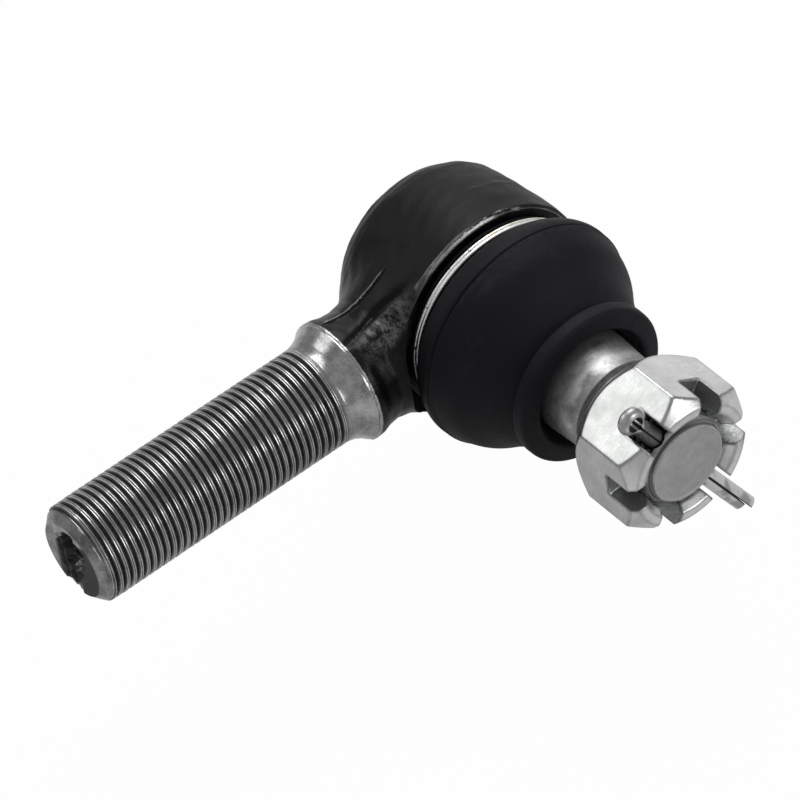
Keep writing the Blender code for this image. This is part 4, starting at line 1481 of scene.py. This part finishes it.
@dataclass
class Boot:
    """The rubber boot, the wire ring round its bead and the stiffener in its lip."""

    ring_r: float = 19.44
    ring_wire_r: float = 0.42
    ring_back: float = 6.98
    ring_pitch: float = 0.74
    widest_r: float = 22.95
    widest_reach: float = 14.3
    crease_r: float = 14.575
    crease_reach: float = 29.9
    parting_reach: float = 15.45
    swell: tuple[tuple[float, float], ...] = ((0.17, 0.93), (0.38, 0.78), (0.6, 0.49), (0.83, 0.23))
    hollow: tuple[tuple[float, float], ...] = ((0.15, 0.93), (0.35, 0.76), (0.58, 0.46), (0.81, 0.18))

    def bulge(self, shares: Sequence[tuple[float, float]], wide: float, end_r: float, end: float) -> Outline:
        """Points of the wall from its widest place to its small end.

        Args:
            shares: how far along and how far out each point between them is.
            wide: the widest radius.
            end_r: the small end's radius.
            end: the small end's reach.

        Returns:
            The points.
        """
        start = self.widest_reach
        points = [(end_r + (wide - end_r) * out, start + (end - start) * on) for on, out in shares]
        return [(wide, start)] + points + [(end_r, end)]

    def parting_line(self, reach: float) -> float:
        """How far the mould's parting line and the groove beside it move the wall."""
        past = reach - self.parting_reach
        return 0.2 * math.exp(-(((past - 0.25) / 0.2) ** 2)) - 0.14 * math.exp(-(((past + 0.15) / 0.16) ** 2))

    def outline(self) -> Outline:
        """The boot's section, round and back to where it starts.

        Returns:
            The outline, closed.
        """
        swollen = self.bulge(self.swell, self.widest_r, self.crease_r, self.crease_reach)
        wall = smooth_through([(19.75, 9.25), (21.4, 10.5), (22.5, 12.3)] + swollen, 12)
        wall = [(radius + self.parting_line(reach), reach) for radius, reach in wall]
        lip = smooth_through([
            (15.0, 30.35), (15.8, 30.8), (16.02, 31.3), (16.02, 32.5), (15.95, 33.2), (15.6, 33.75), (15.0, 33.95),
            (13.8, 34.2), (12.8, 34.3), (12.2, 34.0), (11.8, 33.2),
        ], 5)
        mouth = [(11.1, 32.1), (10.72, 31.6), (10.85, 30.9), (13.675, 30.9), (13.675, 28.3)]
        hollow = self.bulge(self.hollow, self.widest_r - 2.0, 13.675, 28.3)[::-1]
        inner = smooth_through(hollow + [(20.3, 12.4), (18.4, 10.8), (16.9, 9.8)], 4)
        bead = [(16.9, 5.65), (19.0, 5.65), (19.2, 5.85), (19.2, 6.45), (18.3, 6.5), (18.3, 9.1), (19.5, 9.1)]
        return wall + lip + mouth + inner[1:] + bead

    def rubber(self, finish: bpy.types.Material) -> bpy.types.Object:
        """The boot as one moulded skin, from its bead to its lip.

        Args:
            finish: its material.

        Returns:
            The piece.
        """
        skin = turned("boot", self.outline(), Matrix.Identity(4), 168, closed=True)
        mesh = settle(skin, Axis.STUD.place(), 50)
        store(mesh, "rest_place", places_of(mesh))
        piece = bpy.data.objects.new("boot", mesh)
        bpy.context.scene.collection.objects.link(piece)
        mesh.materials.clear()
        mesh.materials.append(finish)
        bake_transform(piece)
        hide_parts("dust_boot")
        LOG.info("boot: %d points, between the housing's bead and the lip", len(mesh.vertices))
        return piece

    def ring(self, coils: Recipe, finish: bpy.types.Material) -> bpy.types.Object:
        """Two turns of bright wire side by side round the bead.

        Args:
            coils: the wound wire's recipe.
            finish: its material.

        Returns:
            The piece.
        """
        made = coils.run(
            bpy.data.meshes.new("ring"), finish, Turns=2.0, First_Radius=self.ring_r, Last_Radius=self.ring_r,
            First_Height=self.ring_back, Rise=2 * self.ring_pitch, Wire=self.ring_wire_r,
        )
        made = settle(made, Axis.STUD.place(), 60)
        return add_piece(made, "housing", "bright_steel", finish, "boot_retaining_ring")


# ---------------------------------------------------------------- stud, nut and pin


@dataclass
class BallStud:
    """The ball stud with its slotted nut and cotter pin."""

    ball_r: float = 12.5
    neck_r: float = 7.4
    cone_back: tuple[float, float] = (10.75, 25.0)
    cone_front: tuple[float, float] = (9.75, 41.0)
    relief_r: float = 8.5
    thread_r: float = 8.86
    thread_start: float = 43.2
    end_reach: float = 60.3
    pitch: float = 1.5
    columns: int = 112
    rows_per_turn: int = 12
    nut_flats: float = 27.0
    nut_corner_r: float = 15.588
    base_chamfer: tuple[float, float] = (0.5, 3.0)      # inside the flats, and length along a corner
    top_chamfer: tuple[float, float] = (1.0, 2.9)
    nut_base: float = 44.8
    nut_top: float = 61.0
    nut_bore_r: float = 9.21
    slot_width: float = 5.0
    slot_floor: float = 54.0
    pin_turn: float = 120.0
    pin_reach: float = 56.7
    pin_hole_r: float = 2.4
    pin_leg_r: float = 1.75
    pin_eye: float = 16.9
    pin_eye_r: float = 1.5
    pin_bend_r: float = 2.4
    pin_split: float = 0.06
    pin_short: float = 26.2
    pin_long: float = 28.6
    pin_tips: float = 22.0              # the legs' oblique tips start here

    def across(self, degrees: float) -> Vector:
        """The direction square to the stud at an angle from +X towards +Z, in the stud's local frame."""
        turn = math.radians(degrees)
        return Vector((math.cos(turn), math.sin(turn), 0.0))

    def slots(self, x: np.ndarray, y: np.ndarray) -> list[np.ndarray]:
        """Distances from the middle of each slot that runs across the nut."""
        aims = [self.across(self.pin_turn + 60 * number) for number in range(3)]
        return [np.abs(-x * aim.y + y * aim.x) for aim in aims]

    def stud(self, threads: Recipe, finish: bpy.types.Material) -> bpy.types.Object:
        """Ball, neck, seat cone, undercut and right-hand thread, drilled for the pin.

        Args:
            threads: the thread's recipe.
            finish: its material.

        Returns:
            The piece.
        """
        neck_at = math.sqrt(self.ball_r**2 - self.neck_r**2)
        stop = math.acos((neck_at - 0.25) / self.ball_r)
        angles = [math.pi + (stop - math.pi) * step / 40 for step in range(1, 41)]
        ball = [(self.ball_r * math.sin(angle), self.ball_r * math.cos(angle)) for angle in angles]
        ball.insert(0, (0.0, -self.ball_r))
        neck = rounded([
            (*ball[-1], 0), (self.neck_r, neck_at + 1.0, 0.8), (self.neck_r, 15.4, 2.0),
            (self.neck_r + 0.6, 18.6, 2.0), (9.75, 22.6, 1.5), (*self.cone_back, 0.5), (9.85, 39.4, 0),
            (*self.cone_front, 0.12), (self.relief_r, 41.45, 0.1), (self.relief_r, self.thread_start, 0),
        ])
        last_r = self.thread_r - 1.0
        disc = self.end_reach - 0.14
        end = rounded([
            (last_r, self.end_reach, 0), (last_r - 0.35, self.end_reach, 0.1), (last_r - 0.6, disc, 0.1),
            (6.2, disc, 0), (3.0, disc, 0), (0.0, disc, 0),
        ])
        bar = ball[:-1] + neck
        mesh = turned("stud", bar + end, Matrix.Identity(4), self.columns, gap=len(bar) - 2)
        made = threads.run(
            mesh, finish, Radius=self.thread_r, First_Radius=self.relief_r, Last_Radius=last_r, Lead=0.4,
            Chamfer=1.7, Depth=0.8, Pitch=self.pitch, Start=self.thread_start, End=self.end_reach, Runout=0.5,
            Hand=Hand.RIGHT.value, Crest=0.30, Root=0.86, Seam=0.0, Wobble=0.04, Columns=self.columns,
            Rows=thread_rows(self.end_reach - self.thread_start, self.pitch, self.rows_per_turn),
            Rows_Per_Turn=self.rows_per_turn,
        )
        made = settle(made, Matrix.Identity(4), 180)
        turn = self.across(self.pin_turn).to_track_quat("Z", "Y").to_matrix().to_4x4()
        place = Matrix.Translation((0.0, 0.0, self.pin_reach)) @ turn
        drill = [(0.0, -14.0), (self.pin_hole_r, -14.0), (self.pin_hole_r, 14.0), (0.0, 14.0)]
        drilled = cut(made, turned("drill", drill, place, 40))
        return add_piece(settle(drilled, Axis.STUD.place(), 42), "stud", "stud_steel", finish, "ball_stud")

    def nut_solid(self, points: np.ndarray) -> np.ndarray:
        """Signed distance to the slotted nut in the stud's local frame.

        Args:
            points: places in millimetres.

        Returns:
            The distance at each, negative inside.
        """
        x, y, z = points.T
        radius = np.hypot(x, y)
        flat, edge = self.nut_flats / 2, 0.24
        sides = np.full(len(points), -50.0)
        for number in range(6):
            aim = self.across(60 * number)
            sides = soft_max(sides, x * aim.x + y * aim.y - flat, 0.3)
        ends = soft_max(self.nut_base - z, z - self.nut_top, edge)
        chamfers = []
        for past, (inset, length) in ((z - self.nut_base, self.base_chamfer), (self.nut_top - z, self.top_chamfer)):
            steepness = (self.nut_corner_r - flat + inset) / length
            chamfers.append((radius - (flat - inset) - past * steepness) / math.hypot(1, steepness))
        hexagon = soft_max(soft_max(sides, ends, edge), soft_max(*chamfers, edge), edge)
        angle = np.arctan2(y, x) / (2 * math.pi)
        phase = np.abs(np.mod(z / self.pitch - angle + 0.25, 1.0) - 0.5) * 2
        bore = self.nut_bore_r + 0.32 * np.clip((phase - 0.35) / 0.4, 0, 1)
        bore = np.maximum(bore, self.nut_bore_r + 1.0 - (z - self.nut_base))
        bore = np.maximum(bore, self.nut_bore_r + 1.5 - (self.nut_top - z) * 0.8)
        solid = soft_max(hexagon, bore - radius, edge)
        burr = 0.28 * np.exp(-(((z - self.slot_floor) / 0.4) ** 2)) * np.exp(-(((radius - 13.4) / 0.5) ** 2))
        for aside in self.slots(x, y):
            slot = soft_max(aside - self.slot_width / 2, self.slot_floor - z, 0.35)
            solid = soft_max(solid, -slot, 0.22) - burr * np.exp(-(((aside - 2.0) / 0.45) ** 2))
        return solid

    def nut(self, finish: bpy.types.Material) -> bpy.types.Object:
        """The slotted nut, with edges as soft as plated ones are and a thread in its bore.

        Args:
            finish: its material.

        Returns:
            The piece.
        """
        low, high = (-15.9, -15.9, self.nut_base - 0.6), (15.9, 15.9, self.nut_top + 0.6)
        made = settle(surface_net("nut", self.nut_solid, low, high, 0.29), Axis.STUD.place(), 180)
        self.mark_nut(made)
        return add_piece(made, "stud", "zinc_plate", finish, "castle_nut")

    def mark_nut(self, mesh: bpy.types.Mesh) -> None:
        """Stores which points lie on slot walls and which on edges, for the plating's shades.

        Args:
            mesh: the finished nut.
        """
        world = places_of(mesh)
        local = np.stack((world[:, 0], world[:, 2], -world[:, 1]), axis=1)
        above = self.slot_floor - local[:, 2]
        walls = [np.maximum(aside - self.slot_width / 2, above) for aside in self.slots(local[:, 0], local[:, 1])]
        sawn = np.clip((0.2 - np.abs(np.min(walls, axis=0))) / 0.14, 0, 1) * (above < 0.3)
        store(mesh, "sawn", sawn)
        store(mesh, "edge", np.clip((stands_out(self.nut_solid, local, 0.5) - 0.012) / 0.05, 0, 1))

    def pin_path(self) -> list[tuple[float, float]]:
        """The flat side of the pin's wire, leg to leg round the eye.

        Returns:
            (along, aside) points.
        """
        split = self.pin_split
        bend_r, eye_r = self.pin_bend_r, self.pin_eye_r
        bend_aside = split + bend_r
        bend_along = self.pin_eye - math.sqrt((bend_r + eye_r) ** 2 - bend_aside**2)
        opening = math.atan2(bend_aside, bend_along - self.pin_eye)
        half: list[tuple[float, float]] = []
        for step in range(11):
            angle = -math.pi / 2 + (opening - math.pi / 2) * step / 10
            half.append((bend_along + bend_r * math.cos(angle), bend_aside + bend_r * math.sin(angle)))
        for step in range(1, 25):
            angle = opening * (1 - step / 24)
            half.append((self.pin_eye + eye_r * math.cos(angle), eye_r * math.sin(angle)))
        leg = [(place, split) for place in np.linspace(-self.pin_short, half[0][0] - 1.0, 24)]
        other = [(place, -split) for place in np.linspace(half[0][0] - 1.0, -self.pin_long, 24)]
        return leg + half + [(along, -aside) for along, aside in half[-2::-1]] + other

    def pin(self, wires: Recipe, finish: bpy.types.Material) -> bpy.types.Object:
        """The cotter pin: half-round wire folded round its eye.

        Args:
            wires: the half-round wire's recipe.
            finish: its material.

        Returns:
            The piece.
        """
        path = [(along, aside, 0.0) for along, aside in self.pin_path()]
        mesh = bpy.data.meshes.new("cotter")
        mesh.from_pydata(path, [(number, number + 1) for number in range(len(path) - 1)], [])
        made = wires.run(mesh, finish, Wire=self.pin_leg_r, Eye_Start=12.0, Eye_Share=0.74)
        for point in made.vertices:
            point.co.x += 0.5 * point.co.z * min(1.0, max(0.0, (-self.pin_tips - point.co.x) / 4))
        along = self.across(self.pin_turn)
        aside = Vector((-along.y, along.x, 0.0))
        turn = Matrix((along, aside, Vector((0.0, 0.0, 1.0)))).transposed().to_4x4()
        place = Axis.STUD.place() @ Matrix.Translation((0.0, 0.0, self.pin_reach)) @ turn
        return add_piece(settle(made, place, 50), "pin", "zinc_plate", finish, "cotter_pin")


# ---------------------------------------------------------------- inside


@dataclass
class BallSeat:
    """What presses the ball: the conical spring, and the two moulded bearings and the insert from the CAD."""

    wire_r: float = 0.9
    front: float = -15.4
    back: float = -17.6
    inner_r: float = 3.9
    outer_r: float = 8.2

    def spring(self, coils: Recipe, finish: bpy.types.Material) -> bpy.types.Object:
        """The conical spring between the cover and the pressure seat.

        Args:
            coils: the wound wire's recipe.
            finish: its material.

        Returns:
            The piece.
        """
        made = coils.run(
            bpy.data.meshes.new("spring"), finish, Turns=2.0, First_Radius=self.inner_r, Last_Radius=self.outer_r,
            First_Height=self.front, Rise=self.back - self.front, Wire=self.wire_r,
        )
        return add_piece(settle(made, Axis.STUD.place(), 60), "seat", "cover_steel", finish, "seat_spring")

    def dress_kept(self, polymer: bpy.types.Material, steel: bpy.types.Material) -> None:
        """Gives the CAD pieces that stay their materials.

        Args:
            polymer: for the two bearings.
            steel: for the boot lip's insert.
        """
        for name, finish in (("bearing_seat", polymer), ("pressure_seat", polymer), ("boot_lip_insert", steel)):
            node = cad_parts[name]
            node.data.materials.clear()
            node.data.materials.append(finish)
            LOG.info("%s: kept from the frame, dressed with %s", name, finish.name)


# ---------------------------------------------------------------- studio


@dataclass
class Lamp:
    """One soft rectangular lamp, aimed at the part."""

    name: str
    towards: tuple[float, float, float]
    distance: float
    size: float
    watts: float

    def hang(self) -> None:
        """Puts the lamp up."""
        light = bpy.data.lights.new(self.name, "AREA")
        light.shape = "DISK"
        light.size = self.size
        light.energy = self.watts
        lamp = bpy.data.objects.new(self.name, light)
        aim = Vector(self.towards).normalized()
        lamp.location = BALL_CENTRE + aim * self.distance
        lamp.rotation_euler = aim.to_track_quat("Z", "Y").to_euler()
        bpy.context.scene.collection.objects.link(lamp)


@dataclass
class Studio:
    """Pale floor, soft light and the camera."""

    floor_z: float = -44.0              # just under the pin's tip when the stud is tilted all the way down
    lamps: tuple[Lamp, ...] = (
        Lamp("top_lamp", (0.34, 0.36, 0.87), 0.9, 0.72, 4.6),
        Lamp("left_lamp", (-0.42, 0.62, 0.66), 1.0, 0.55, 1.0),
        Lamp("front_lamp", (0.38, -0.86, 0.34), 1.1, 0.5, 2.7),
        Lamp("back_lamp", (0.66, 0.72, 0.18), 1.1, 1.0, 1.3),
    )
    world_light: float = 0.42
    world_shine: float = 0.24
    floor_shine: float = 0.2
    floor_seen: float = 0.98
    camera_back: tuple[float, float, float] = (-0.385033, -0.590504, 0.709263)
    camera_up: tuple[float, float, float] = (0.513394, 0.501586, 0.696303)
    camera_right: tuple[float, float, float] = (0.766926, -0.632231, -0.110034)
    camera_distance: float = 1154.3
    aim_right: float = -13.18
    aim_up: float = -19.68
    lens: float = 285.3

    @staticmethod
    def rays(tree: Tree) -> tuple[Wire, Wire]:
        """Which rays look at the studio.

        Args:
            tree: the nodes of the world or the floor.

        Returns:
            1 for rays by way of shiny or clear surfaces, and 1 for rays straight from the camera.
        """
        path = tree.node("ShaderNodeLightPath")
        return path["Is Glossy Ray"].most(path["Is Transmission Ray"]), path["Is Camera Ray"]

    def light_world(self) -> None:
        """White where the camera looks, and moderate as light and in shiny metal."""
        world = bpy.data.worlds.new("studio")
        world.use_nodes = True
        tree = Tree(world.node_tree)
        shiny, seen = self.rays(tree)
        strength = (shiny * self.world_shine).most(self.world_light).most(seen)
        shade = tree.node("ShaderNodeBackground", {}, {"Color": (1.0, 1.0, 1.0, 1.0), "Strength": strength})
        tree.node("ShaderNodeOutputWorld", {}, {"Surface": shade["Background"]})
        bpy.context.scene.world = world

    def floor(self) -> None:
        """A plain pale floor that stays white in view and keeps a soft shadow."""
        mesh = bpy.data.meshes.new("floor")
        reach, height = 3.0, self.floor_z * MM
        mesh.from_pydata(
            [(-reach, -reach, height), (reach, -reach, height), (reach, reach, height), (-reach, reach, height)],
            [], [(0, 1, 2, 3)],
        )
        material = bpy.data.materials.new("pale_floor")
        material.use_nodes = True
        tree = Tree(material.node_tree)
        shiny, seen = self.rays(tree)
        direct = (shiny * self.floor_shine).most(seen * self.floor_seen)
        matt = tree.node("ShaderNodeBsdfDiffuse", {}, {"Color": (0.6, 0.6, 0.6, 1.0)})["BSDF"]
        glow = tree.node("ShaderNodeEmission", {}, {"Color": (1.0, 1.0, 1.0, 1.0), "Strength": 1.0})["Emission"]
        mixed = tree.node("ShaderNodeMixShader", {}, {0: direct, 1: matt, 2: glow})["Shader"]
        tree.node("ShaderNodeOutputMaterial", {}, {"Surface": mixed})
        mesh.materials.append(material)
        ground = bpy.data.objects.new("floor", mesh)
        bpy.context.scene.collection.objects.link(ground)

    def camera(self) -> None:
        """The photograph's camera."""
        back, up, right = (Vector(way) for way in (self.camera_back, self.camera_up, self.camera_right))
        place = BALL_CENTRE + back * self.camera_distance * MM
        aim = BALL_CENTRE + (right * self.aim_right + up * self.aim_up) * MM
        view = (place - aim).normalized()
        side = up.cross(view).normalized()
        turn = Matrix((side, view.cross(side), view)).transposed()
        data = bpy.data.cameras.new("camera")
        data.lens = self.lens
        data.sensor_width = 36.0
        data.clip_start, data.clip_end = 0.05, 20.0
        camera = bpy.data.objects.new("camera", data)
        camera.matrix_world = Matrix.Translation(place) @ turn.to_4x4()
        bpy.context.scene.collection.objects.link(camera)
        bpy.context.scene.camera = camera

    def build(self) -> None:
        """Lights the part and sets the camera."""
        self.light_world()
        self.floor()
        for lamp in self.lamps:
            lamp.hang()
        self.camera()
        bpy.context.scene.view_settings.view_transform = "Standard"


def main() -> None:
    """Builds every piece, dresses it and reports it."""
    logging.basicConfig(level=logging.INFO, format="%(message)s")
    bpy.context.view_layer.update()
    threads, coils, wires = thread_recipe(), coil_recipe(), half_round_recipe()

    housing, boot, stud, seat = Housing(), Boot(), BallStud(), BallSeat()

    polymer = MouldedPolymer().make()
    cover_steel = PressedSteel().make()
    wire_steel = DrawnWire("spring_wire", (0.45, 0.45, 0.46), (0.25, 0.24, 0.22), 0.5, 0.35).make()
    shank_steel = ShankSteel(
        name="shank_steel", axis=Axis.SHANK, hand=Hand.LEFT, bright=(0.52, 0.52, 0.523), dull=(0.14, 0.14, 0.142),
        start=housing.thread_start, stop=90.4, crest=0.38, root=0.72, seam=0.9, polish=0.20, end=housing.thread_end,
    ).make()
    stud_steel = StudSteel(
        name="stud_steel", axis=Axis.STUD, hand=Hand.RIGHT, bright=(0.56, 0.56, 0.565), dull=(0.13, 0.13, 0.132),
        start=stud.thread_start, stop=60.1, crest=0.30, root=0.86, seam=0.0, polish=0.34, end=stud.end_reach,
    ).make()
    pin_steel = PinWire(
        name="pin_wire", bright=(0.66, 0.662, 0.67), patch=(0.36, 0.36, 0.365), patch_share=0.4, polish=0.3,
        turn=stud.pin_turn, eye=stud.pin_eye,
    )

    housing.forging(ForgingPaint().make())
    housing.shank(threads, shank_steel)
    housing.cover(cover_steel)

    boot.rubber(BootRubber().make())
    boot.ring(coils, DrawnWire("ring_wire", (0.92, 0.92, 0.90), (0.66, 0.58, 0.36), 0.25, 0.34).make())

    stud.stud(threads, stud_steel)
    stud.nut(ZincPlate().make())
    stud.pin(wires, pin_steel.make())

    seat.spring(coils, wire_steel)
    seat.dress_kept(polymer, cover_steel)

    Studio().build()


if __name__ == "__main__":
    main()
